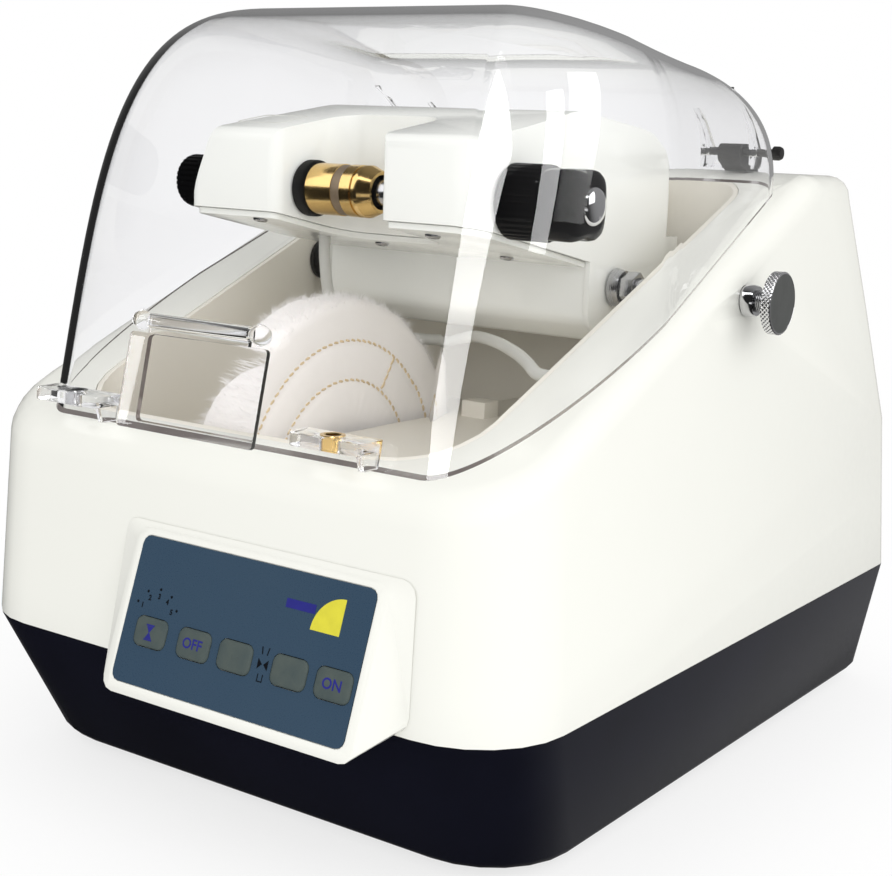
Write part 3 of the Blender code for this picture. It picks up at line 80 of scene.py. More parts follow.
def make_camera():
    """Camera with a roll, where the photograph's perspective puts it."""
    a, e = CAMERA_AZIMUTH, CAMERA_ELEVATION
    back = Vector((math.sin(a) * math.cos(e), -math.cos(a) * math.cos(e), math.sin(e)))
    right = (-back).cross(Vector((0, 0, 1))).normalized()
    up = right.cross(-back)
    c, s = math.cos(CAMERA_ROLL), math.sin(CAMERA_ROLL)
    turned_right, turned_up = right * c + up * s, up * c - right * s
    data = bpy.data.cameras.new("camera")
    data.lens, data.sensor_width = CAMERA_LENS, 36.0
    data.clip_start, data.clip_end = 0.01, 60.0
    camera = new_object("camera", data)
    turn = Matrix((turned_right, turned_up, back)).transposed().to_4x4()
    camera.matrix_world = Matrix.Translation(CAMERA_TARGET + back * CAMERA_DISTANCE) @ turn
    bpy.context.scene.camera = camera


# ---------------------------------------------------------------- materials
def linear(red, green, blue):
    """Scene-linear colour of an sRGB triple in 0 to 255."""
    return tuple(v / 3294.6 if v <= 10.31 else ((v / 255 + 0.055) / 1.055) ** 2.4
                 for v in (red, green, blue))


def add_node(tree, kind, **settings):
    """New shader node with some of its settings."""
    node = tree.nodes.new("ShaderNode" + kind)
    for key, value in settings.items():
        setattr(node, key, value)
    return node


def math_node(tree, operation, first, second, clamp=False):
    """Output of a Math node on two sockets."""
    node = add_node(tree, "Math", operation=operation, use_clamp=clamp)
    tree.links.new(first, node.inputs[0])
    tree.links.new(second, node.inputs[1])
    return node.outputs[0]


def map_range(tree, value, from_low, from_high, to_low, to_high, kind="LINEAR"):
    """Output of a Map Range node on a socket."""
    node = add_node(tree, "MapRange", interpolation_type=kind)
    numbers = {"From Min": from_low, "From Max": from_high, "To Min": to_low, "To Max": to_high}
    for key, number in numbers.items():
        node.inputs[key].default_value = number
    tree.links.new(value, node.inputs["Value"])
    return node.outputs["Result"]


NOISE_LOW, NOISE_HIGH = 0.3, 0.7      # the range that layered noise really covers
WAVE_UNIT = TAU / 20                  # Wave texture scale of one band per metre


def surface(name, colour, rough=0.4, metal=0.0, vary=0.04, patch=25.0, grain=900.0, bump=0.15,
            depth=0.0001, stretch=(1, 1, 1), rough_vary=0.06, sockets=None, weave=0.0, tone=None):
    """Principled material whose colour, roughness and bump come from layered noise.

    patch and grain are in cells per metre, stretch scales the grain along the axes, weave adds
    crossed threads at that many per metre, tone is a second colour for the patches.
    """
    made = bpy.data.materials.new(name)
    made.use_nodes = True
    tree = made.node_tree
    join = tree.links.new
    shader = tree.nodes["Principled BSDF"]
    shader.inputs["Metallic"].default_value = metal
    for key, value in (sockets or {}).items():
        shader.inputs[key].default_value = value
    place = add_node(tree, "TexCoord").outputs["Object"]
    mapping = add_node(tree, "Mapping")
    mapping.inputs["Scale"].default_value = stretch
    join(place, mapping.inputs["Vector"])

    def pattern(kind, source, inputs, **settings):
        field = add_node(tree, kind, **settings)
        for key, value in inputs.items():
            field.inputs[key].default_value = value
        join(source, field.inputs["Vector"])
        return field.outputs["Fac"]

    patches = pattern("TexNoise", place, {"Scale": patch, "Detail": 3.0})
    fine = pattern("TexNoise", mapping.outputs["Vector"], {"Scale": grain, "Detail": 4.0})
    mix = add_node(tree, "Mix", data_type="RGBA")
    other = tone or tuple(min(v * (1 + vary), 1.0) for v in colour)
    mix.inputs["A"].default_value = (*[v * (1 - vary) for v in colour], 1.0)
    mix.inputs["B"].default_value = (*other, 1.0)
    join(map_range(tree, patches, NOISE_LOW, NOISE_HIGH, 0.0, 1.0), mix.inputs["Factor"])
    join(mix.outputs["Result"], shader.inputs["Base Color"])
    smoothest, roughest = max(rough - rough_vary, 0.0), min(rough + rough_vary, 1.0)
    join(map_range(tree, fine, NOISE_LOW, NOISE_HIGH, smoothest, roughest),
         shader.inputs["Roughness"])
    height = fine
    if weave:
        threads = {"Scale": weave * WAVE_UNIT, "Distortion": 1.5, "Detail": 2.0}
        waves = [pattern("TexWave", place, threads, bands_direction=axis) for axis in "XZ"]
        height = math_node(tree, "ADD", math_node(tree, "MULTIPLY", *waves), fine)
    relief = add_node(tree, "Bump")
    relief.inputs["Strength"].default_value = bump
    relief.inputs["Distance"].default_value = depth
    join(height, relief.inputs["Height"])
    join(relief.outputs["Normal"], shader.inputs["Normal"])
    made.diffuse_color = (*colour, 1.0)
    return made


TURNED = (1.0, 0.02, 0.02)            # grain drawn out round the X axis, as a lathe leaves it
# Each look: material name, sRGB colour, roughness, metallic, variation, patches and grain in
# cells per metre, bump strength, bump depth in micrometres.
RECIPES = {
    "enamel": ("white_enamel", (236, 236, 229), 0.24, 0, 0.008, 9, 260, 0.1, 60),
    # the carriage's white is the housing's enamel made brighter: its own white, partly painted
    # light that makes up for the shade under the hood
    "carriage": ("carriage_enamel", (248, 249, 244), 0.2, 0, 0.008, 12, 300, 0.09, 50),
    "navy": ("navy_moulding", (14, 15, 26), 0.24, 0, 0.2, 14, 500, 0.05, 20),
    "tub": ("tub_moulding", (238, 234, 224), 0.38, 0, 0.03, 8, 700, 0.12, 80),
    "edge": ("acrylic_edge", (150, 138, 132), 0.12, 0, 0.35, 60, 900, 0.2, 60),
    "brass": ("turned_brass", (222, 188, 124), 0.18, 1, 0.06, 80, 5000, 0.1, 30),
    "dull_brass": ("dull_band", (128, 112, 92), 0.5, 0.4, 0.1, 300, 4000, 0.3, 40),
    "steel": ("turned_steel", (190, 190, 192), 0.22, 1, 0.05, 60, 5000, 0.12, 30),
    "chrome": ("chrome_plate", (226, 226, 228), 0.07, 1, 0.03, 90, 600, 0.05, 30),
    "knob_face": ("brushed_disc", (122, 124, 122), 0.42, 0.85, 0.06, 120, 3500, 0.15, 30),
    "phenolic": ("black_phenolic", (7, 7, 8), 0.14, 0, 0.2, 70, 900, 0.1, 50),
    "plastic": ("black_plastic", (34, 33, 33), 0.42, 0, 0.12, 40, 1600, 0.25, 60),
    "rubber": ("black_rubber", (14, 14, 14), 0.72, 0, 0.15, 90, 2200, 0.35, 60),
    "membrane": ("membrane_film", (50, 73, 94), 0.3, 0, 0.05, 12, 2600, 0.12, 30),
    "key": ("key_silicone", (82, 92, 88), 0.46, 0, 0.05, 160, 1800, 0.2, 40),
    "board": ("solder_mask", (28, 92, 58), 0.35, 0, 0.15, 120, 1500, 0.3, 50),
    "casting": ("motor_casting", (96, 98, 102), 0.48, 0.9, 0.1, 50, 1200, 0.4, 100),
    "acetal": ("white_acetal", (232, 231, 222), 0.45, 0, 0.02, 60, 1200, 0.15, 40),
    "sheath": ("cable_sheath", (206, 206, 200), 0.4, 0, 0.03, 100, 900, 0.15, 50),
    "cloth": ("buff_cloth", (250, 246, 243), 0.95, 0, 0.012, 60, 900, 0.35, 100),
    "fibre": ("buff_fibre", (252, 249, 248), 0.9, 0, 0.05, 300, 2000, 0.1, 20),
    "thread": ("tan_thread", (218, 196, 160), 0.85, 0, 0.08, 300, 4000, 0.5, 60),
    "ink_blue": ("blue_ink", (32, 34, 130), 0.5, 0, 0.08, 200, 2600, 0.1, 20),
    "ink_black": ("black_ink", (14, 18, 26), 0.5, 0, 0.1, 200, 2600, 0.1, 20),
    "ink_yellow": ("yellow_ink", (214, 206, 52), 0.5, 0, 0.05, 200, 2600, 0.1, 20),
}
EXTRAS = {
    "enamel": {"rough_vary": 0.03, "sockets": {"Coat Weight": 0.25, "Coat Roughness": 0.08}},
    "carriage": {"rough_vary": 0.03, "sockets": {"Coat Weight": 0.3, "Coat Roughness": 0.06}},
    "navy": {"rough_vary": 0.03, "sockets": {"Specular IOR Level": 0.4}},
    "tub": {"tone": (233, 228, 215)},
    "edge": {"tone": (96, 82, 76), "sockets": {"Transmission Weight": 0.35, "IOR": 1.49}},
    "brass": {"stretch": TURNED, "rough_vary": 0.07},
    "dull_brass": {"stretch": TURNED},
    "steel": {"stretch": TURNED, "rough_vary": 0.08},
    "chrome": {"rough_vary": 0.03},
    "knob_face": {"stretch": (1, 1, 0.05)},
    "phenolic": {"sockets": {"Specular IOR Level": 0.12}},
    "membrane": {"tone": (53, 74, 93)},
    "key": {"tone": (70, 82, 82)},
    "cloth": {"weave": 1500, "rough_vary": 0.03,
              "sockets": {"Sheen Weight": 0.35, "Sheen Roughness": 0.5}},
    "fibre": {"sockets": {"Sheen Weight": 0.4}},
}


def recipe(name, colour, rough, metal, vary, patch, grain, bump, depth, tone=None, **more):
    """Material from a row of RECIPES and its EXTRAS."""
    return surface(name, linear(*colour), rough, metal, vary, patch, grain, bump, depth * 1e-6,
                   tone=tone and linear(*tone), **more)


LOOKS = {look: recipe(*row, **EXTRAS.get(look, {})) for look, row in RECIPES.items()}

SHEET = {"colour": (0.985, 0.985, 0.993), "rough": 0.015, "vary": 0.006, "patch": 6, "grain": 40,
         "bump": 0.02, "depth": 0.00004, "rough_vary": 0.008}
GLASSY = {"Transmission Weight": 1.0, "IOR": 1.49}
LOOKS["clear"] = surface("clear_acrylic", sockets=GLASSY, **SHEET)
LOOKS["clear_inner"] = surface(
    "clear_inside", sockets={**GLASSY, "Specular Tint": (0.0, 0.0, 0.0, 1.0)}, **SHEET)
LOOKS["clear_small"] = surface(
    "clear_fittings", (0.985, 0.985, 0.99), 0.02, vary=0.004, patch=60, grain=400, bump=0.02,
    depth=0.00002, rough_vary=0.01,
    sockets={"Transmission Weight": 1.0, "IOR": 1.2, "Specular IOR Level": 0.15})

# ---------------------------------------------------------------- kept CAD nodes
KEPT = {
    "enamel": ["console_housing", "upper_housing"],
    "carriage": ["carriage_shell", "carriage_pan"],
    "navy": ["base_tray"],
    "tub": ["splash_basin"],
    "clear": ["window_flap"],
    "clear_small": ["hood_tab_left", "hood_tab_right", "hood_bracket_left", "hood_bracket_right",
                    "flap_hinge_rod"],
    "steel": ["wheel_spindle", "wheel_flange", "wheel_nut", "wheel_pulley", "wheel_bearing",
              "gear_bracket", "lens_spindle", "clamp_shaft", "pivot_lock_nut", "motor_pulley"],
    "chrome": ["pivot_collar"],
    "brass": ["motor_pinion"],
    "plastic": ["power_inlet", "hinge_block_left", "hinge_block_right", "hinge_pin_left",
                "hinge_pin_right", "pivot_bush_left", "motor_cradle"],
    "rubber": ["foot_front_left", "foot_front_right", "foot_rear_left", "foot_rear_right",
               "cable_grommet", "drive_belt"],
    "membrane": ["console_membrane"],
    "board": ["control_board", "console_board"],
    "casting": ["wheel_motor", "lens_motor", "bearing_block"],
    "acetal": ["spindle_gear", "idler_gear"],
}
BEVELS = {"console_housing": 0.0012, "upper_housing": 0.001, "carriage": 0.0005,
          "navy": 0.001, "tub": 0.0012, "clear": 0.0004, "clear_small": 0.0004,
          "steel": 0.0002, "plastic": 0.0004, "rubber": 0.0005}      # by node or by look
BEVEL_FROM, SMOOTH_UP_TO = math.radians(50), math.radians(38)
WELD = 0.00001
SEAM_CLOSER = 0.00028                 # how far the carriage pan grows towards its shell


def smoother():
    """Node group that shades smooth, except across edges sharper than its angle."""
    group = bpy.data.node_groups.new("smooth_by_angle", "GeometryNodeTree")
    group.interface.new_socket("Geometry", in_out="INPUT", socket_type="NodeSocketGeometry")
    group.interface.new_socket("Geometry", in_out="OUTPUT", socket_type="NodeSocketGeometry")
    nodes, links = group.nodes, group.links
    entry, leave = nodes.new("NodeGroupInput"), nodes.new("NodeGroupOutput")
    remove = nodes.new("GeometryNodeRemoveAttribute")
    remove.inputs["Name"].default_value = "custom_normal"
    faces = nodes.new("GeometryNodeSetShadeSmooth")
    edges = nodes.new("GeometryNodeSetShadeSmooth")
    edges.domain = "EDGE"
    edges.inputs["Shade Smooth"].default_value = False
    angle = nodes.new("GeometryNodeInputMeshEdgeAngle")
    over = nodes.new("FunctionNodeCompare")
    over.inputs["B"].default_value = SMOOTH_UP_TO
    links.new(entry.outputs[0], remove.inputs["Geometry"])
    links.new(remove.outputs["Geometry"], faces.inputs["Geometry"])
    links.new(faces.outputs["Geometry"], edges.inputs["Geometry"])
    links.new(angle.outputs["Unsigned Angle"], over.inputs["A"])
    links.new(over.outputs["Result"], edges.inputs["Selection"])
    links.new(edges.outputs["Geometry"], leave.inputs[0])
    return group


def finish_cad_nodes():
    """Materials for the CAD nodes that stay, with welded seams and rounded edges."""
    group = smoother()
    for look, names in KEPT.items():
        for name in names:
            node = NODES[name]
            node.data.materials.clear()
            node.data.materials.append(LOOKS[look])
            node.modifiers.new("weld", "WELD").merge_threshold = WELD
            width = BEVELS.get(name, BEVELS.get(look))
            if width:
                rounding = node.modifiers.new("edges", "BEVEL")
                rounding.width, rounding.segments = width, 3
                rounding.limit_method, rounding.angle_limit = "ANGLE", BEVEL_FROM
                rounding.use_clamp_overlap = True
            if name == "carriage_pan":
                seam = node.modifiers.new("close_seam", "DISPLACE")
                seam.strength, seam.mid_level = SEAM_CLOSER, 0.0
            node.modifiers.new("shade", "NODES").node_group = group


def let_light_through(item):
    """Clear pieces cast no shadow and stay out of diffuse bounces, so what they cover is lit.

    The large ones stay out of reflections too, so the metals below mirror the lights.
    """
    item.visible_shadow = item.visible_diffuse = False
    if item.name in ("hood_shell", "window_flap"):
        item.visible_glossy = False


# ---------------------------------------------------------------- mesh helpers
def new_object(name, data):
    """Object of a mesh, curve, light or camera, linked to the scene."""
    item = bpy.data.objects.new(name, data)
    bpy.context.scene.collection.objects.link(item)
    return item


def to_mesh(name, bm):
    """Mesh of a bmesh, which is freed."""
    mesh = bpy.data.meshes.new(name)
    bm.to_mesh(mesh)
    bm.free()
    return mesh


def piece(name, bm, body, looks, replaces=(), angle=35):
    """Object in the row frame from a bmesh, riding on a body."""
    bmesh.ops.recalc_face_normals(bm, faces=bm.faces)
    mesh = to_mesh(name, bm)
    for look in looks:
        mesh.materials.append(LOOKS[look])
    mesh.shade_smooth()
    mesh.set_sharp_from_angle(angle=math.radians(angle))
    item = new_object(name, mesh)
    if body:
        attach(item, body)
    if replaces:
        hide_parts(*replaces)
    return item


def lathe(bm, stations, y, z, segments=64, ripple=None, paint=None, closed=False):
    """Turned surface about the X-parallel line through (y, z).

    stations lists (x, radius); radius 0 makes a pole. ripple(angle, x, radius) returns the
    radius there, paint(x, radius) the material index of the strip that starts there.
    """
    rings = []
    for x, radius in stations:
        if radius == 0:
            rings.append([bm.verts.new((x, y, z))])
            continue
        ring = []
        for k in range(segments):
            angle = TAU * k / segments
            r = ripple(angle, x, radius) if ripple else radius
            ring.append(bm.verts.new((x, y + r * math.cos(angle), z + r * math.sin(angle))))
        rings.append(ring)
    pairs = list(zip(rings, rings[1:], stations))
    if closed:
        pairs.append((rings[-1], rings[0], stations[-1]))
    for a, b, (x, radius) in pairs:
        index = paint(x, radius) if paint else 0
        for k in range(segments):
            j = (k + 1) % segments
            if len(a) == 1:
                face = bm.faces.new((a[0], b[j], b[k]))
            elif len(b) == 1:
                face = bm.faces.new((a[k], a[j], b[0]))
            else:
                face = bm.faces.new((a[k], a[j], b[j], b[k]))
            face.material_index = index


def loft(bm, rings, caps=True):
    """Quads between rings of as many vertices each, with the ends closed by a face."""
    for a, b in zip(rings, rings[1:]):
        for k in range(len(a)):
            j = (k + 1) % len(a)
            bm.faces.new((a[k], a[j], b[j], b[k]))
    if caps:
        bm.faces.new(rings[0][::-1])
        bm.faces.new(rings[-1])


def catmull(points, steps):
    """Smooth line through the points."""
    line = []
    for i in range(len(points) - 1):
        p0, p1 = points[max(i - 1, 0)], points[i]
        p2, p3 = points[i + 1], points[min(i + 2, len(points) - 1)]
        for k in range(steps):
            t = k / steps
            line.append(0.5 * (2 * p1 + (p2 - p0) * t + (2 * p0 - 5 * p1 + 4 * p2 - p3) * t * t
                               + (3 * p1 - p0 - 3 * p2 + p3) * t ** 3))
    return line + [points[-1]]


def tube(bm, line, radius, sides=12, closed=False):
    """Tube along a line with parallel-carried rings."""
    count = len(line)
    normal = None
    rings = []
    for i, place in enumerate(line):
        ahead = line[(i + 1) % count] if closed or i < count - 1 else place
        behind = line[i - 1] if closed or i > 0 else place
        along = (ahead - behind).normalized()
        if normal is None:
            normal = along.orthogonal().normalized()
        normal = (normal - along * normal.dot(along)).normalized()
        side = along.cross(normal)
        rings.append([bm.verts.new(place + normal * radius * math.cos(TAU * k / sides)
                                   + side * radius * math.sin(TAU * k / sides))
                      for k in range(sides)])
    loft(bm, rings + rings[:1] if closed else rings, caps=not closed)


# ---------------------------------------------------------------- carriage cable
CABLE_RADIUS = 0.0028
CABLE_ROUTE = [
    (-0.054, -0.054, 0.246), (-0.054, -0.056, 0.238), (-0.0535, -0.056, 0.224),
    (-0.053, -0.052, 0.208), (-0.051, -0.037, 0.195), (-0.044, -0.018, 0.188),
    (-0.026, -0.008, 0.186), (-0.005, -0.013, 0.189), (0.018, -0.029, 0.1935),
    (0.04, -0.045, 0.1945), (0.06, -0.06, 0.193), (0.077, -0.077, 0.1915),
    (0.088, -0.0885, 0.19), (0.098, -0.093, 0.19), (0.111, -0.093, 0.19),
    (0.118, -0.092, 0.187), (0.123, -0.088, 0.173), (0.126, -0.075, 0.151),
    (0.128, -0.045, 0.118), (0.126, -0.005, 0.088), (0.122, 0.035, 0.062),
    (0.1175, 0.07, 0.04), (0.1155, 0.095, 0.025), (0.115, 0.115, 0.0152)]


def make_cable():
    line = catmull([Vector(p) + SHIFT for p in CABLE_ROUTE], 6)
    bm = bmesh.new()
    tube(bm, line, CABLE_RADIUS)
    cable = piece("carriage_lead", bm, None, ["sheath"], ["carriage_cable"])
    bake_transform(cable)


# ---------------------------------------------------------------- hood
HOOD_HALF, HOOD_REAR, HOOD_THICK = 0.1336, 0.073, 0.003
CORNER_X, CORNER_Y, TAPER, REAR_RADIUS = 0.0363, 0.122, 0.078, 0.018
CROWN_HALF, CROWN_FRONT, CROWN_REAR = 0.066, -0.062, -0.009
CROWN_FRONT_Z, CROWN_REAR_Z, POWER_FRONT, POWER_REAR = 0.3417, 0.328, 4.0, 2.43
LEAN_SIDE, LEAN_FRONT = 0.017 / 0.15, 0.212
RIM_Y, RIM_Z, RIM_SLOPE, GAP = -0.1835, 0.1596, 0.434, 0.0003
WINDOW_LOW, WINDOW_HIGH = Vector((-0.051, -0.22, 0.1625)), Vector((0.013, -0.15, 0.1985))
WINDOW_RADIUS = 0.002
HOOD_OVERLENGTH = 0.005               # wall below the rim plane, cut off later
CROWN_RISE = 0.0026                   # how far the crown's middle stands above its edge
HOOD_LOOKS = ["clear", "edge", "clear_inner"]


def hood_outline():
    """Bottom edge of the hood from above, counter-clockwise."""
    rear_start = HOOD_REAR - REAR_RADIUS
    bend = RIM_Y + CORNER_Y
    front = HOOD_HALF - CORNER_X
    half = [(0.15 * k * front, RIM_Y) for k in range(7)]
    for k in range(29):
        angle = math.radians(-90 + 90 * k / 28)
        half.append((front + CORNER_X * math.cos(angle), bend + CORNER_Y * math.sin(angle)))
    for k in range(1, 11):
        y = bend + (rear_start - bend) * k / 10
        half.append((HOOD_HALF - TAPER * (y - bend), y))
    centre = half[-1][0] - REAR_RADIUS
    for k in range(1, 11):
        angle = math.radians(9 * k)
        half.append((centre + REAR_RADIUS * math.cos(angle),
                     rear_start + REAR_RADIUS * math.sin(angle)))
    half += [(centre * share, HOOD_REAR) for share in (0.75, 0.5, 0.25, 0.0)]
    return half + [(-x, y) for x, y in half[-2:0:-1]]


def hood_column(x, y, levels):
    """Points up the wall from its bottom edge at (x, y) to the crown."""
    share = (y - RIM_Y) / (HOOD_REAR - RIM_Y)
    crown = Vector((x / HOOD_HALF * CROWN_HALF,
                    CROWN_FRONT + (CROWN_REAR - CROWN_FRONT) * share))
    foot = RIM_Z + RIM_SLOPE * (y - RIM_Y) + GAP
    height = CROWN_FRONT_Z + (CROWN_REAR_Z - CROWN_FRONT_Z) * share - foot
    power = POWER_FRONT + (POWER_REAR - POWER_FRONT) * share
    leant = Vector((x * (1 - LEAN_SIDE * height), y + LEAN_FRONT * height * (1 - share)))
    column = [(x, y, foot - HOOD_OVERLENGTH)]
    for k in range(levels + 1):
        angle = math.pi / 2 * k / levels
        inwards = 1 - max(math.cos(angle), 0.0) ** (2 / power) if k < levels else 1.0
        rise = height * math.sin(angle) ** (2 / power)
        place = Vector((x * (1 - LEAN_SIDE * rise), y + LEAN_FRONT * rise * (1 - share)))
        place += (crown - leant) * inwards
        column.append((*place, foot + rise))
    return column


def make_hood():
    """Clear shell: walls lofted to the crown, thickened, foot cut on the rim plane, window cut."""
    columns = [hood_column(x, y, 36) for x, y in hood_outline()]
    rings = [[Vector(p) for p in ring] for ring in zip(*columns)]
    crown = rings[-1]
    centre = sum(crown, Vector()) / len(crown)
    for share in (0.85, 0.66, 0.48, 0.3, 0.15):
        lift = Vector((0, 0, CROWN_RISE * (1 - share ** 2)))
        rings.append([centre + (p - centre) * share + lift for p in crown])
    bm = bmesh.new()
    layers = [[bm.verts.new(p + SHIFT) for p in ring] for ring in rings]
    loft(bm, layers, caps=False)
    top = bm.verts.new(centre + Vector((0, 0, CROWN_RISE + 0.0001)) + SHIFT)
    for a, b in zip(layers[-1], layers[-1][1:] + layers[-1][:1]):
        bm.faces.new((a, b, top))
    blank = piece("hood_blank", bm, None, HOOD_LOOKS)
    shell = blank.modifiers.new("shell", "SOLIDIFY")
    shell.thickness, shell.offset = HOOD_THICK, -1.0
    shell.material_offset = HOOD_LOOKS.index("clear_inner")
    solid = evaluated(blank)
    bmesh.ops.bisect_plane(solid, geom=solid.verts[:] + solid.edges[:] + solid.faces[:], dist=1e-7,
                           plane_co=Vector((0, RIM_Y, RIM_Z + GAP)) + SHIFT,
                           plane_no=Vector((0, -RIM_SLOPE, 1)).normalized(), clear_inner=True)
    open_edges = [edge for edge in solid.edges if edge.is_boundary]
    for face in bmesh.ops.bridge_loops(solid, edges=open_edges)["faces"]:
        face.material_index = HOOD_LOOKS.index("edge")
    hood = piece("hood_shell", solid, None, HOOD_LOOKS)
    opening = bmesh.new()
    add_box(opening, (WINDOW_LOW + WINDOW_HIGH) / 2 + SHIFT, WINDOW_HIGH - WINDOW_LOW)
    along_y = [edge for edge in opening.edges
               if abs((edge.verts[0].co - edge.verts[1].co).normalized().y) > 0.99]
    bmesh.ops.bevel(opening, geom=along_y, offset=WINDOW_RADIUS, segments=4, profile=0.5,
                    affect="EDGES")
    cutter = piece("window_cutter", opening, None, ["edge"])
    cut = hood.modifiers.new("window", "BOOLEAN")
    cut.object, cut.operation, cut.solver = cutter, "DIFFERENCE", "EXACT"
    cut.material_mode = "TRANSFER"
    done = evaluated(hood)
    bpy.data.objects.remove(cutter, do_unlink=True)
    piece("hood_shell", done, "hood", HOOD_LOOKS, ["hood"], angle=40)


def add_box(bm, centre, size):
    """Cuboid in a bmesh."""
    place = Matrix.Translation(centre) @ Matrix.Diagonal((*size, 1.0))
    bmesh.ops.create_cube(bm, size=1.0, matrix=place)


def evaluated(item):
    """bmesh of an object with its modifiers applied. The object is removed."""
    bpy.context.view_layer.update()
    depsgraph = bpy.context.evaluated_depsgraph_get()
    bm = bmesh.new()
    bm.from_mesh(bpy.data.meshes.new_from_object(item.evaluated_get(depsgraph)))
    bpy.data.objects.remove(item, do_unlink=True)
    return bm


def stand_up(bm):
    """Turn a lathed shape from the X axis on to the Z axis."""
    bmesh.ops.rotate(bm, verts=bm.verts, cent=(0, 0, 0),
                     matrix=Matrix.Rotation(math.radians(-90), 3, "Y"))


TAB_HOLE_Y, TAB_BOTTOM, TAB_TOP = -0.1885 + SHIFT.y, 0.1672 + SHIFT.z, 0.1722 + SHIFT.z


def make_tab_rings():
    """Small eyelets pressed into the holes of the two lifting tabs."""
    bore, barrel, flange = 0.003, 0.0043, 0.005
    profile = [(TAB_BOTTOM - 0.0002, bore), (TAB_BOTTOM - 0.0002, barrel),
               (TAB_TOP + 0.0002, barrel), (TAB_TOP + 0.0002, flange), (TAB_TOP + 0.0006, flange),
               (TAB_TOP + 0.0006, bore + 0.0004), (TAB_TOP + 0.0002, bore)]
    for node, look, slot in (("hood_tab_left", "steel", "wheel_nut"),
                             ("hood_tab_right", "brass", "brass_chuck")):
        bm = bmesh.new()
        lathe(bm, profile, 0, 0, 40, closed=True)
        stand_up(bm)
        bmesh.ops.translate(bm, verts=bm.verts, vec=Vector((middle(node).x, TAB_HOLE_Y, 0)))
        piece(f"{node}_eyelet", bm, "hood", [look])


# ---------------------------------------------------------------- buffing wheel
STITCH_RINGS = (0.0495, 0.068)
WHEEL_SWEEP = [0.0063, 0.012, 0.018, 0.024, 0.029, 0.034, 0.04, 0.044, 0.047, 0.0495, 0.052,
               0.056, 0.061, 0.0655, 0.068, 0.0705, 0.075, 0.079, 0.0815]
SHOULDER = 0.004                     # rounding between the wheel's face and rim, across
RIM_WAVE, PLY_NOISE, PLY_FROM = 0.0006, 0.00012, 0.03
TUFT_SIZE, LINK_ANGLE = 0.0034, math.radians(58)
STITCH_STEP, STITCH_SHARE, STITCH_RADIUS, STITCH_SLANT = 0.0042, 0.6, 0.00058, 0.0006


def sag(radius):
    """How far the wheel's face lies below its highest plane: clamped centre, drawn-in seams."""
    dish = 0.002 * max(0.0, (0.034 - radius) / 0.01) if radius > 0.024 else 0.002
    return dish + sum(0.0009 * math.exp(-((radius - s) / 0.0018) ** 2) for s in STITCH_RINGS)


def make_wheel():
    """Stitched cloth buff: dimpled faces, tan lockstitch and a rim of loose fibre."""
    random.seed(11)
    low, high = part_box("buffing_wheel")
    left, right = low.x, high.x
    rim, face_edge = (high.z - low.z) / 2, WHEEL_SWEEP[-1]
    stations = [(right - sag(radius), radius) for radius in WHEEL_SWEEP]
    for k in range(1, 8):
        angle = math.radians(90 * k / 8)
        stations.append((right - SHOULDER * (1 - math.cos(angle)),
                         face_edge + (rim - face_edge) * math.sin(angle)))
    mirrored = [(left + right - x, radius) for x, radius in stations[::-1]]
    for k in range(1, 5):
        stations.append((right - SHOULDER - (right - left - 2 * SHOULDER) * k / 5, rim))
    waves = [(random.uniform(0, TAU), random.choice((5, 7, 11, 13, 17))) for _ in range(6)]

    def ripple(angle, x, radius):
        soft = sum(math.sin(n * angle + phase) for phase, n in waves) / len(waves)
        return radius + RIM_WAVE * soft * (radius / rim) ** 3

    bm = bmesh.new()
    lathe(bm, stations + mirrored, WHEEL.y, WHEEL.z, 180, ripple, closed=True)
    for vert in bm.verts:
        if math.hypot(vert.co.y - WHEEL.y, vert.co.z - WHEEL.z) > PLY_FROM:
            vert.co.x += random.uniform(-1, 1) * PLY_NOISE
    piece("buff_wheel", bm, "wheel", ["cloth"], ["buffing_wheel"], angle=80)

    bm = bmesh.new()
    tuft = {}
    for _ in range(15000):
        add_fibre(bm, left, right, rim, tuft)
    piece("buff_fibres", bm, "wheel", ["fibre"], angle=80)

    bm = bmesh.new()
    for face_x, outwards in ((right, 1), (left, -1)):
        for seam in STITCH_RINGS:
            count = round(seam * TAU / STITCH_STEP)
            for k in range(count):
                angle = TAU * k / count
                stitch(bm, face_x - outwards * (sag(seam) - 0.0001), outwards,
                       seam, angle, seam, angle + TAU / count * STITCH_SHARE)
        for k in range(4):
            inner = 0.051 + k * STITCH_STEP
            stitch(bm, face_x - outwards * 0.0001, outwards,
                   inner, LINK_ANGLE, inner + 0.0032, LINK_ANGLE - 0.012)
    piece("buff_stitching", bm, "wheel", ["thread"], angle=80)


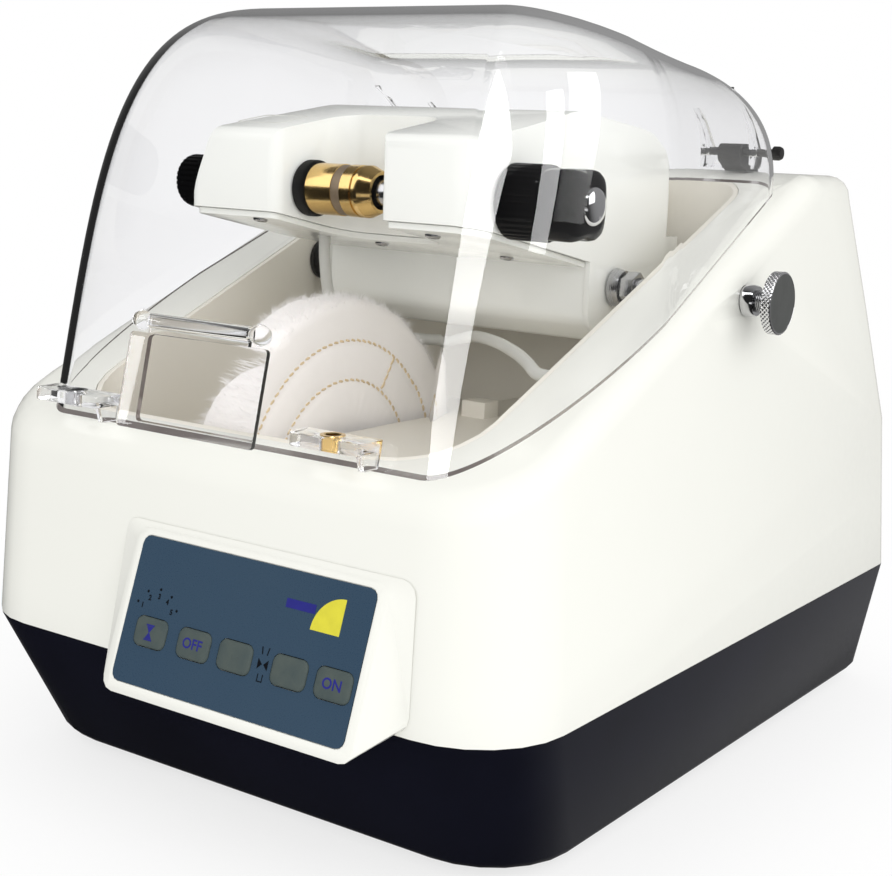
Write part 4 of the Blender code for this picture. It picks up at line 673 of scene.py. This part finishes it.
def add_fibre(bm, left, right, rim, tuft):
    """One loose fibre on the rim. Fibres of one tuft lean and stand alike."""
    angle = random.uniform(0, TAU)
    x = random.uniform(left + 0.0004, right - 0.0004)
    edge = min(x - left, right - x)
    splay = (1 if x > WHEEL.x else -1) * max(0.0, 1 - edge / 0.004)
    spot = (round(angle * rim / TUFT_SIZE), round(x / TUFT_SIZE))
    if spot not in tuft:
        tuft[spot] = (random.gauss(0, 0.3), random.gauss(0.1, 0.35), random.uniform(0.6, 1.5))
    sideways, swirl, tall = tuft[spot]
    c, s = math.cos(angle), math.sin(angle)
    out = Vector((0.55 * splay + sideways + random.gauss(0, 0.26), c, s))
    ahead = (out + Vector((0, -s, c)) * (swirl + random.gauss(0, 0.2))).normalized()
    length = tall * random.uniform(0.0018, 0.0044)
    base = rim - 0.0008 - 0.6 * max(0.0, 0.0035 - edge)
    foot = Vector((x, WHEEL.y + base * c, WHEEL.z + base * s))
    bend = Vector([random.gauss(0, 0.35) for _ in range(3)])
    across = ahead.orthogonal().normalized()
    other = ahead.cross(across)
    thick = random.uniform(0.00005, 0.00011)
    rings = []
    for place, width in ((foot, 1.0), (foot + ahead * length * 0.55, 0.75)):
        rings.append([bm.verts.new(place + (across * math.cos(a) + other * math.sin(a))
                                   * thick * width) for a in (0, TAU / 3, 2 * TAU / 3)])
    tip = bm.verts.new(foot + (ahead + bend * 0.5).normalized() * length)
    loft(bm, rings, caps=False)
    bm.faces.new(rings[0][::-1])
    for k in range(3):
        bm.faces.new((rings[1][k], rings[1][(k + 1) % 3], tip))


def stitch(bm, x, outwards, r0, a0, r1, a1):
    """One raised stitch from polar point to polar point on a face of the wheel."""
    line = []
    for k in range(5):
        t = k / 4
        r, a = r0 + (r1 - r0) * t + STITCH_SLANT * (t - 0.5), a0 + (a1 - a0) * t
        lift = 0.0004 * math.sin(math.pi * t) - 0.0002
        line.append(Vector((x + outwards * lift, WHEEL.y + r * math.cos(a),
                            WHEEL.z + r * math.sin(a))))
    tube(bm, line, STITCH_RADIUS, 6)


# ---------------------------------------------------------------- lens drive and clamp
def turned(name, stations, axis, segments, body, looks, node, bore=(), angle=35, **more):
    """Lathed piece that stands for a CAD node; bore is the profile of a hole in its end."""
    bm = bmesh.new()
    lathe(bm, stations, axis.y, axis.z, segments, **more)
    if bore:
        lathe(bm, bore, axis.y, axis.z, segments)
        bmesh.ops.remove_doubles(bm, verts=bm.verts, dist=1e-6)
    piece(name, bm, body, looks, [node], angle)


def axial(node):
    """Ends along X and radius of a round CAD node."""
    low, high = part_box(node)
    return low.x, high.x, (high.z - low.z) / 2


def make_chuck():
    """Brass chuck with a dull band and a stepped nose, and its rubber cushion."""
    x0, x1, radius = axial("brass_chuck")
    end = x1 - 0.0055
    band = x0 + 0.0147
    stations = [(x0, 0.0055), (x0, radius - 0.0004), (x0 + 0.0004, radius), (band, radius),
                (band + 0.0001, radius - 0.0003), (band + 0.005, radius - 0.0003),
                (band + 0.0051, radius), (end - 0.0042, radius), (end - 0.004, radius - 0.0006),
                (end - 0.003, radius - 0.0006), (end - 0.0028, radius), (end - 0.0003, radius),
                (end, radius - 0.0002), (x1 - 0.0003, 0.0093), (x1, 0.009), (x1, 0.0077),
                (x1 - 0.0003, 0.0075), (end + 0.001, 0.0074), (end + 0.001, 0.0)]

    def paint(x, r):
        if abs(x - band - 0.0001) < 1e-6:
            return 1
        return 2 if x > x1 - 0.0004 and r < 0.0078 or abs(x - end - 0.001) < 1e-6 else 0

    bore = [(x0, 0.0055), (x0 + 0.0105, 0.0055), (x0 + 0.0105, 0.0)]
    turned("chuck_body", stations, LENS, 96, "lens_drive", ["brass", "dull_brass", "rubber"],
           "brass_chuck", bore, paint=paint)

    x0, x1, radius = axial("rubber_ring")
    soft = 0.0012
    edge = [(x0, 0.0055), (x0, radius - soft)]
    edge += [(x0 + soft - soft * math.cos(a), radius - soft + soft * math.sin(a))
             for a in (0.4, 0.8, 1.2, 1.57)]
    edge += [(x0 + x1 - x, q) for x, q in edge[::-1]]
    turned("chuck_cushion", edge, LENS, 96, "lens_drive", ["rubber"], "rubber_ring", closed=True)


def ribs(count, depth, sharpness=3.0):
    """Ripple with raised ribs and narrow grooves."""
    def ripple(angle, x, radius):
        groove = max(0.0, math.cos(count * angle)) ** sharpness
        return radius - depth * groove if radius > 0.0095 else radius
    return ripple


LOBE_SWELL, LOBE_FROM, LOBE_OVER = 0.0019, 0.0095, 0.006
CLAMP_BORE_END = 0.1025 + SHIFT.x


def make_knobs():
    """Fluted knob of the spindle, lobed clamp knob with a fluted sleeve, and its dome."""
    x0, x1, r = axial("spindle_knob")
    profile = [(x1, 0.0054), (x1, r - 0.001), (x1 - 0.0006, r), (x0 + 0.0035, r),
               (x0 + 0.0018, r - 0.0005), (x0 + 0.0006, r - 0.0018), (x0 + 0.0001, r - 0.0034),
               (x0, 0.006), (x0 + 0.0005, 0.004), (x0 + 0.0006, 0.0)]
    bore = [(x1, 0.0054), (x0 + 0.006, 0.0054), (x0 + 0.006, 0.0)]
    turned("spindle_grip", profile, LENS, 216, "lens_drive", ["phenolic"], "spindle_knob", bore,
           ripple=ribs(30, 0.0009))

    x0, x2, _ = axial("clamp_knob")
    x1 = x0 + 0.0194
    sleeve = [(x0, 0.0064), (x0, 0.015), (x0 + 0.0008, 0.016), (x1 - 0.0016, 0.016),
              (x1 - 0.0004, 0.0152)]
    star = [(x1 + 0.0002, 0.0136), (x1 + 0.0008, 0.015), (x1 + 0.0022, 0.0158),
            (x2 - 0.0052, 0.0158), (x2 - 0.003, 0.0152), (x2 - 0.0014, 0.014),
            (x2 - 0.0004, 0.0122), (x2, 0.0104), (x2, 0.0086), (x2 - 0.0004, 0.0082),
            (x2 - 0.0004, 0.0)]
    flutes = ribs(36, 0.0009)

    def ripple(angle, x, radius):
        if x < x1:
            return flutes(angle, x, radius)
        share = min(max((radius - LOBE_FROM) / LOBE_OVER, 0.0), 1.0)
        return radius + LOBE_SWELL * share * math.cos(4 * (angle - math.radians(45)))

    bore = [(x0, 0.0064), (CLAMP_BORE_END, 0.0064), (CLAMP_BORE_END, 0.0)]
    turned("clamp_grip_knob", sleeve + star, LENS, 288, "clamp_grip", ["phenolic"], "clamp_knob",
           bore, ripple=ripple)

    x0, x1, r = axial("clamp_dome")
    dome = [(x0, 0.0), (x0, r - 0.0003)]
    for degrees in (4, 12, 22, 32, 42, 52, 62, 72, 82):
        a = math.radians(degrees)
        dome.append((x0 + (x1 - x0) * math.sin(a), r * math.cos(a) ** 0.8))
    turned("clamp_cap", dome + [(x1, 0.0)], LENS, 64, "clamp_grip", ["chrome"], "clamp_dome",
           angle=60)


# ---------------------------------------------------------------- pivot and adjusting knob
KNURL_COUNT, KNURL_PITCH, KNURL_DEPTH, DISC_WIDTH = 42, 0.0019, 0.0006, 0.005
THREAD_END = 0.1395 + SHIFT.x
SHAFT_STEPS = [(0.139, 0.0046), (0.092, 0.0046), (0.092, 0.005), (0.079, 0.005),
               (0.079, 0.008), (0.075, 0.009), (0.0742, 0.009), (0.0742, 0.005)]


def make_adjuster():
    """Knurled adjusting knob and the threaded pivot shaft it turns on."""
    neck, x1, r = axial("adjusting_knob")
    x0 = x1 - DISC_WIDTH
    steps = 14
    body = [(neck, 0.0), (neck, 0.006), (neck + 0.0005, 0.0066), (x0 - 0.0004, 0.0066),
            (x0 - 0.0002, 0.007), (x0, r - 0.0012)]
    body += [(x0 + 0.0005 + (x1 - x0 - 0.001) * k / steps, r) for k in range(steps + 1)]
    body += [(x1 - 0.0002, r - 0.0004), (x1, r - 0.0009), (x1 - 0.0001, r - 0.001),
             (x1 - 0.0001, 0.0)]

    def knurl(angle, x, radius):
        if radius < r - 0.0001:
            return radius
        turn, pitch = KNURL_COUNT * angle, TAU * (x - x0) / KNURL_PITCH
        ridge = max(abs(math.sin((turn + pitch) / 2)), abs(math.sin((turn - pitch) / 2)))
        return radius - KNURL_DEPTH * (1 - ridge)

    def paint(x, radius):
        return 1 if x > x1 - 0.00015 and radius < r - 0.00095 else 0

    turned("adjuster_knob", body, PIVOT, 336, "adjuster", ["chrome", "knob_face"],
           "adjusting_knob", ripple=knurl, paint=paint)

    low, high, _ = axial("pivot_shaft")
    shaft = [(high, 0.0), (high, 0.0042)]
    x = high - 0.0003
    while x > THREAD_END:
        shaft += [(x, 0.0048), (x - 0.00035, 0.0048), (x - 0.0005, 0.0041), (x - 0.00065, 0.0041)]
        x -= 0.0009
    shaft += [(x + SHIFT.x, radius) for x, radius in SHAFT_STEPS]
    shaft += [(low + 0.0006, 0.005), (low, 0.0044), (low, 0.0)]
    turned("pivot_rod", shaft, PIVOT, 64, "traverse", ["steel"], "pivot_shaft")


# ---------------------------------------------------------------- screws
SCREW_RADIUS, SCREW_HEIGHT = 0.0034, 0.0016
PAN_SLOPE, COVER_SLOPE = 0.1942, 0.1726
COVER_HALF_X, COVER_HALF_Y, COVER_RADIUS = 0.013, 0.011, 0.003


def screw_mesh():
    """Pan head with a cross recess, seat at the origin, head towards +X."""
    radius, height = SCREW_RADIUS, SCREW_HEIGHT
    dome = [(-0.0003, 0.0), (-0.0003, radius)] + [
        (height * math.sin(a), radius * (0.72 + 0.28 * math.cos(a))) for a in (0.0, 0.4, 0.8, 1.2)]
    dome += [(height, radius * 0.72), (height * 1.05, radius * 0.3), (height * 1.06, 0.0)]
    bm = bmesh.new()
    lathe(bm, dome, 0, 0, 32)
    bmesh.ops.recalc_face_normals(bm, faces=bm.faces)
    head = new_object("screw_blank", to_mesh("screw_blank", bm))
    tools = []
    for size_y, size_z in ((1.24, 0.32), (0.32, 1.24)):
        bm = bmesh.new()
        add_box(bm, (height * 1.2, 0, 0), (height * 1.4, radius * size_y, radius * size_z))
        tools.append(new_object("recess", to_mesh("recess", bm)))
        cut = head.modifiers.new("recess", "BOOLEAN")
        cut.object, cut.operation, cut.solver = tools[-1], "DIFFERENCE", "EXACT"
    made = to_mesh("screw_head", evaluated(head))
    for tool in tools:
        bpy.data.objects.remove(tool, do_unlink=True)
    made.materials.append(LOOKS["steel"])
    made.shade_smooth()
    made.set_sharp_from_angle(angle=math.radians(35))
    return made


def make_screws():
    """Screws under the carriage, on the hinge blocks and at the rear, and the cover's outline."""
    mesh = screw_mesh()
    under, back = Vector((0, -0.19, -1)).normalized(), Vector((0, 1, 0.07)).normalized()
    rows = []
    seats = ((-0.052, -0.105), (-0.024, -0.05), (0.038, -0.096), (0.038, -0.036))
    for number, (x, y) in enumerate(seats):
        place = (x, y, 0.2469 - PAN_SLOPE * (y + 0.1066))
        rows.append((f"carriage_screw_{number}", "carriage", place, under))
    for kind, place, facing in (("hinge", (0.0915, 0.097, 0.2824), Vector((0, 0, 1))),
                                ("rear", (0.105, 0.1938, 0.105), back)):
        for side, sign in (("left", -1), ("right", 1)):
            rows.append((f"{kind}_screw_{side}", "root", (sign * place[0], *place[1:]), facing))
    for name, body, place, facing in rows:
        item = new_object(name, mesh)
        turn = facing.to_track_quat("X", "Z").to_matrix().to_4x4()
        item.matrix_world = Matrix.Translation(Vector(place) + SHIFT) @ turn
        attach(item, body)

    line = [Vector((x, y, 0.2899 + COVER_SLOPE * (y + 0.092))) + SHIFT
            for x, y in rounded(COVER_HALF_X, COVER_HALF_Y, COVER_RADIUS, -0.064, -0.084)]
    bm = bmesh.new()
    tube(bm, line, 0.00022, 8, closed=True)
    piece("cover_outline", bm, "carriage", ["sheath"])


# ---------------------------------------------------------------- console
CONSOLE_CENTRE = Vector((0.0303, -0.208, 0.0903)) + SHIFT
CONSOLE_TILT = math.radians(18.74)
KEY_HALF_X, KEY_HALF_Y, KEY_RADIUS, KEY_V = 0.0087, 0.0061, 0.0032, -0.0082
KEYS = {"timer": -0.0453, "off": -0.0213, "release": 0.0008, "clamp": 0.0288, "on": 0.0506}


def console_point(u, v, w):
    """Row-frame point of (right, up, out) on the console's face."""
    up = Vector((0, math.sin(CONSOLE_TILT), math.cos(CONSOLE_TILT)))
    out = Vector((0, -math.cos(CONSOLE_TILT), math.sin(CONSOLE_TILT)))
    return CONSOLE_CENTRE + Vector((1, 0, 0)) * u + up * v + out * w


def rounded(half_x, half_y, radius, u, v, arc=7):
    """Closed outline of a rounded rectangle, counter-clockwise."""
    line = []
    for cx, cy, start in ((1, -1, -90), (1, 1, 0), (-1, 1, 90), (-1, -1, 180)):
        for k in range(arc + 1):
            angle = math.radians(start + 90 * k / arc)
            line.append((u + cx * (half_x - radius) + radius * math.cos(angle),
                         v + cy * (half_y - radius) + radius * math.sin(angle)))
    return line


def make_keys():
    """Soft pillow-topped keys, from layers of (inset, height)."""
    layers = [(0.0, -0.005), (0.0, 0.0002), (0.0002, 0.0006), (0.0007, 0.0009),
              (0.0016, 0.00112), (0.003, 0.00125), (0.0044, 0.0013)]
    for name, u in KEYS.items():
        bm = bmesh.new()
        rings = []
        for inset, w in layers:
            radius = max(KEY_RADIUS - inset * 0.4, 0.0012)
            line = rounded(KEY_HALF_X - inset, KEY_HALF_Y - inset, radius, u, KEY_V)
            rings.append([bm.verts.new(console_point(x, y, w)) for x, y in line])
        loft(bm, rings)
        piece(f"key_{name}_cap", bm, f"key_{name}", ["key"],
              [f"button_{name}"], angle=60)


INK = 0.00006                         # thickness of printed marks and letters
LETTER_SWELL = 0.00012


def printed(name, outlines, w, body, look, slot):
    """Thin raised print on the console: each outline is a polygon of (u, v)."""
    bm = bmesh.new()
    for line in outlines:
        loft(bm, [[bm.verts.new(console_point(u, v, height)) for u, v in line]
                  for height in (w, w + INK)])
    piece(name, bm, body, [look])


def lettering(name, rows, w, body, look, slot):
    """Flat text on the console: rows of (text, u, v, size)."""
    bm = bmesh.new()
    for text, u, v, size in rows:
        curve = bpy.data.curves.new(name, "FONT")
        curve.body, curve.size = text, size
        curve.align_x, curve.align_y = "CENTER", "CENTER"
        curve.extrude, curve.offset, curve.resolution_u = INK / 2, LETTER_SWELL, 3
        part = evaluated(new_object(name, curve))
        for vert in part.verts:
            vert.co = console_point(u + vert.co.x, v + vert.co.y, w + vert.co.z)
        bm.from_mesh(to_mesh(name, part))
    bmesh.ops.remove_doubles(bm, verts=bm.verts, dist=1e-7)
    piece(name, bm, body, [look])


def bar(u0, v0, u1, v1, width):
    """Outline of a straight stroke."""
    along = Vector((u1 - u0, v1 - v0)).normalized() * width / 2
    return [(u0 + along.y, v0 - along.x), (u1 + along.y, v1 - along.x),
            (u1 - along.y, v1 + along.x), (u0 - along.y, v0 + along.x)]


FILM, CAP = 0.00021, 0.00128           # heights of the membrane and of the keys' tops
ON_FILM = (FILM, "root")


def counter_clockwise(points):
    """Polygon with its points counter-clockwise."""
    area = sum(a[0] * b[1] - b[0] * a[1] for a, b in zip(points, points[1:] + points[:1]))
    return points if area > 0 else points[::-1]


def make_graphics():
    """Generic marks: key legends, a timer scale, a lens clamp pictogram and a wheel pictogram."""
    for name, text in (("off", "OFF"), ("on", "ON")):
        lettering(f"legend_{name}", [(text, KEYS[name], KEY_V, 0.006)], CAP, f"key_{name}",
                  "ink_blue", f"button_{name}")
    u = KEYS["timer"]
    glass = []
    for side in (1, -1):
        end, plate = KEY_V + side * 0.0026, KEY_V + side * 0.003
        glass.append(counter_clockwise([(u - 0.0018, end), (u + 0.0018, end),
                                        (u + 0.0002, KEY_V), (u - 0.0002, KEY_V)]))
        glass.append(bar(u - 0.0022, plate, u + 0.0022, plate, 0.0006))
    printed("legend_timer", glass, CAP, "key_timer", "ink_blue", "button_timer")
    for name, tip, root in (("release", 0.003, 0.0006), ("clamp", 0.0006, 0.003)):
        u = KEYS[name]
        marks = [counter_clockwise([(u + side * tip, KEY_V), (u + side * root, KEY_V + 0.001),
                                    (u + side * root, KEY_V - 0.001)]) for side in (-1, 1)]
        printed(f"legend_{name}", marks, CAP, f"key_{name}", "key", f"button_{name}")
    u, v = 0.0153, -0.008
    pads = [bar(u - 0.0014, v - 0.0067, u + 0.0014, v - 0.0067, 0.0004)]
    for s in (-1, 1):
        near, far = u + s * 0.0004, u + s * 0.0026
        pads.append(counter_clockwise([(near, v), (far, v + 0.0021), (far, v - 0.0021)]))
        pads.append(bar(u + s * 0.0012, v + 0.0038, u + s * 0.0018, v + 0.0068, 0.0005))
        pads.append(bar(u + s * 0.0012, v - 0.0038, u + s * 0.0012, v - 0.0066, 0.0004))
    printed("clamp_pictogram", pads, *ON_FILM, "ink_black", "console_membrane")
    digits, dots = [], []
    u, v = KEYS["timer"], -0.001
    for k in range(5):
        c, s = math.cos(math.radians(158 - 34 * k)), math.sin(math.radians(158 - 34 * k))
        digits.append((str(k + 1), u + 0.0088 * c, v + 0.0078 * s, 0.003))
        dots.append([(u + 0.0118 * c + 0.0006 * math.cos(TAU * n / 12),
                      v + 0.0108 * s + 0.0006 * math.sin(TAU * n / 12)) for n in range(12)])
    lettering("timer_scale", digits, *ON_FILM, "ink_black", "console_membrane")
    printed("timer_lamps", dots, *ON_FILM, "ink_black", "console_membrane")
    printed("shaft_mark", [bar(0.0198, 0.0176, 0.0345, 0.0176, 0.0036)], *ON_FILM, "ink_blue",
            "console_membrane")
    right, base, radius = 0.048, 0.0098, 0.0142
    quarter = [(right, base)] + [(right - radius * math.sin(a), base + radius * math.cos(a))
                                 for a in (math.radians(90 * n / 24) for n in range(25))]
    printed("wheel_mark", [quarter], *ON_FILM, "ink_yellow", "console_membrane")


# ---------------------------------------------------------------- studio
DIFFUSE_LEVEL = 0.86                  # what the white surround gives to matt surfaces
CORNER = Vector((0.1, -0.14, 0.24))   # the hood's front right corner, where the softboxes show


def heading(azimuth, elevation):
    """Unit vector: azimuth is measured from the front towards the right."""
    a, e = math.radians(azimuth), math.radians(elevation)
    return Vector((math.sin(a) * math.cos(e), -math.cos(a) * math.cos(e), math.sin(e)))


def softbox(name, corners, distance, radiance, receivers):
    """Area light spanned by four headings from CORNER: top left, top right, low right, low left.

    With receivers it is seen only as a reflection in them. Without, it lights matt surfaces only.
    """
    a, b, c, d = (CORNER + heading(*corner) * distance for corner in corners)
    centre, across, up = (a + b + c + d) / 4, (b - a + c - d) / 2, (a - d + b - c) / 2
    out = across.cross(up).normalized()
    if out.dot(centre - CORNER) < 0:
        across, out = -across, -out
    data = bpy.data.lights.new(name, "AREA")
    data.shape, data.size, data.size_y = "RECTANGLE", 1.0, 1.0
    data.energy = radiance * math.pi * across.length * up.length
    light = new_object(name, data)
    turn = Matrix((across, up, out)).transposed().to_4x4()
    light.matrix_world = Matrix.Translation(centre) @ turn
    light.visible_camera = light.visible_transmission = False
    light.visible_diffuse, light.visible_glossy = not receivers, bool(receivers)
    if receivers:
        light.light_linking.receiver_collection = receivers


BRIGHT_SIDE = (0.25, 0.8, 0.45)      # where reflections find the surround bright
MIRROR_RANGE = (-0.3, 0.95, 0.02, 0.3)
FLOOR_RINGS = (0, 0.15, 0.3, 0.45, 0.6, 0.75)
FLOOR_FADE = (0.15, 0.45, 0.74, 1.0)  # from and to these radii, from and to this much glow


def make_world():
    """White surround; glossy reflections see it dark in front and low down, as in a real studio."""
    world = bpy.data.worlds.new("studio")
    bpy.context.scene.world = world
    world.use_nodes = True
    tree = world.node_tree
    sky = tree.nodes["Background"]
    facing = add_node(tree, "VectorMath", operation="DOT_PRODUCT")
    facing.inputs[1].default_value = BRIGHT_SIDE
    path = add_node(tree, "LightPath").outputs
    mix = add_node(tree, "Mix", data_type="FLOAT")
    join = tree.links.new
    join(add_node(tree, "TexCoord").outputs["Generated"], facing.inputs[0])
    join(math_node(tree, "SUBTRACT", path["Is Glossy Ray"], path["Is Transmission Ray"], True),
         mix.inputs["Factor"])
    join(map_range(tree, path["Is Diffuse Ray"], 0.0, 1.0, 1.0, DIFFUSE_LEVEL), mix.inputs["A"])
    join(map_range(tree, facing.outputs["Value"], *MIRROR_RANGE, "SMOOTHSTEP"), mix.inputs["B"])
    join(mix.outputs["Result"], sky.inputs["Strength"])
    sky.inputs["Color"].default_value = (1.0, 1.0, 1.0, 1.0)


def make_floor():
    """Pale round floor that glows to white away from the object."""
    bm = bmesh.new()
    lathe(bm, [(0, radius) for radius in FLOOR_RINGS], 0, 0, 96)
    stand_up(bm)
    bmesh.ops.recalc_face_normals(bm, faces=bm.faces)
    floor = new_object("floor", to_mesh("floor", bm))
    paint = surface("studio_floor", (0.96, 0.96, 0.96), 0.85, vary=0.004, patch=2, grain=120,
                    bump=0.03)
    tree = paint.node_tree
    far = add_node(tree, "VectorMath", operation="LENGTH")
    blend = add_node(tree, "MixShader")
    join = tree.links.new
    join(add_node(tree, "TexCoord").outputs["Object"], far.inputs[0])
    join(map_range(tree, far.outputs["Value"], *FLOOR_FADE, "SMOOTHSTEP"), blend.inputs["Fac"])
    join(tree.nodes["Principled BSDF"].outputs["BSDF"], blend.inputs[1])
    join(add_node(tree, "Emission").outputs["Emission"], blend.inputs[2])
    join(blend.outputs["Shader"], tree.nodes["Material Output"].inputs["Surface"])
    floor.data.materials.append(paint)
    floor.visible_glossy = False


CLEAR_PIECES = ["hood_shell", *KEPT["clear"], *KEPT["clear_small"]]
GROUPS = {
    "clear_pieces": CLEAR_PIECES,
    "shiny_pieces": ["chuck_body", "clamp_cap", "adjuster_knob", "pivot_rod", "pivot_collar",
                     "clamp_shaft", "pivot_lock_nut", *(f"carriage_screw_{k}" for k in range(4))],
    "black_pieces": ["clamp_grip_knob", "spindle_grip"],
}
SOFTBOXES = [
    ("soft_key", ((-75, 70), (-20, 70), (-20, 25), (-75, 25)), 2.2, 0.45, None),
    ("soft_fill", ((10, 40), (70, 40), (70, 2), (10, 2)), 2.4, 1.55, None),
    ("soft_side", ((75, 50), (125, 50), (125, 10), (75, 10)), 2.4, 1.2, None),
    ("streak_main", ((29, 48), (88, 37), (38, 5), (-37, 6)), 2.2, 12.0, "clear_pieces"),
    ("streak_second", ((107, 46), (120, 38), (106, 9), (97, 9)), 2.2, 8.0, "clear_pieces"),
    ("metal_key", ((-20, 60), (40, 60), (40, 48), (-20, 48)), 2.2, 3.0, "shiny_pieces"),
    ("metal_low", ((10, -8), (60, -8), (60, -20), (10, -20)), 1.2, 0.8, "shiny_pieces"),
    ("knob_glint", ((30, 66), (80, 66), (80, 50), (30, 50)), 2.2, 9.0, "black_pieces"),
    ("metal_left", ((-70, 58), (-22, 58), (-22, 8), (-70, 8)), 2.2, 1.9, "shiny_pieces"),
    ("metal_side", ((65, 55), (125, 55), (125, 8), (65, 8)), 2.2, 1.6, "shiny_pieces"),
]


def make_studio():
    """Surround, floor and softboxes; some boxes show only in the clear, shiny or black pieces."""
    bpy.context.scene.view_settings.view_transform = "Standard"
    make_world()
    make_floor()
    for group, names in GROUPS.items():
        collection = bpy.data.collections.new(group)
        for name in names:
            collection.objects.link(bpy.data.objects[name])
    for name, corners, distance, radiance, group in SOFTBOXES:
        softbox(name, corners, distance, radiance, group and bpy.data.collections[group])


make_camera()
make_cable()
finish_cad_nodes()
make_hood()
make_tab_rings()
make_wheel()
make_chuck()
make_knobs()
make_adjuster()
make_screws()
make_keys()
make_graphics()
for clear_name in CLEAR_PIECES:
    let_light_through(bpy.data.objects[clear_name])
make_studio()
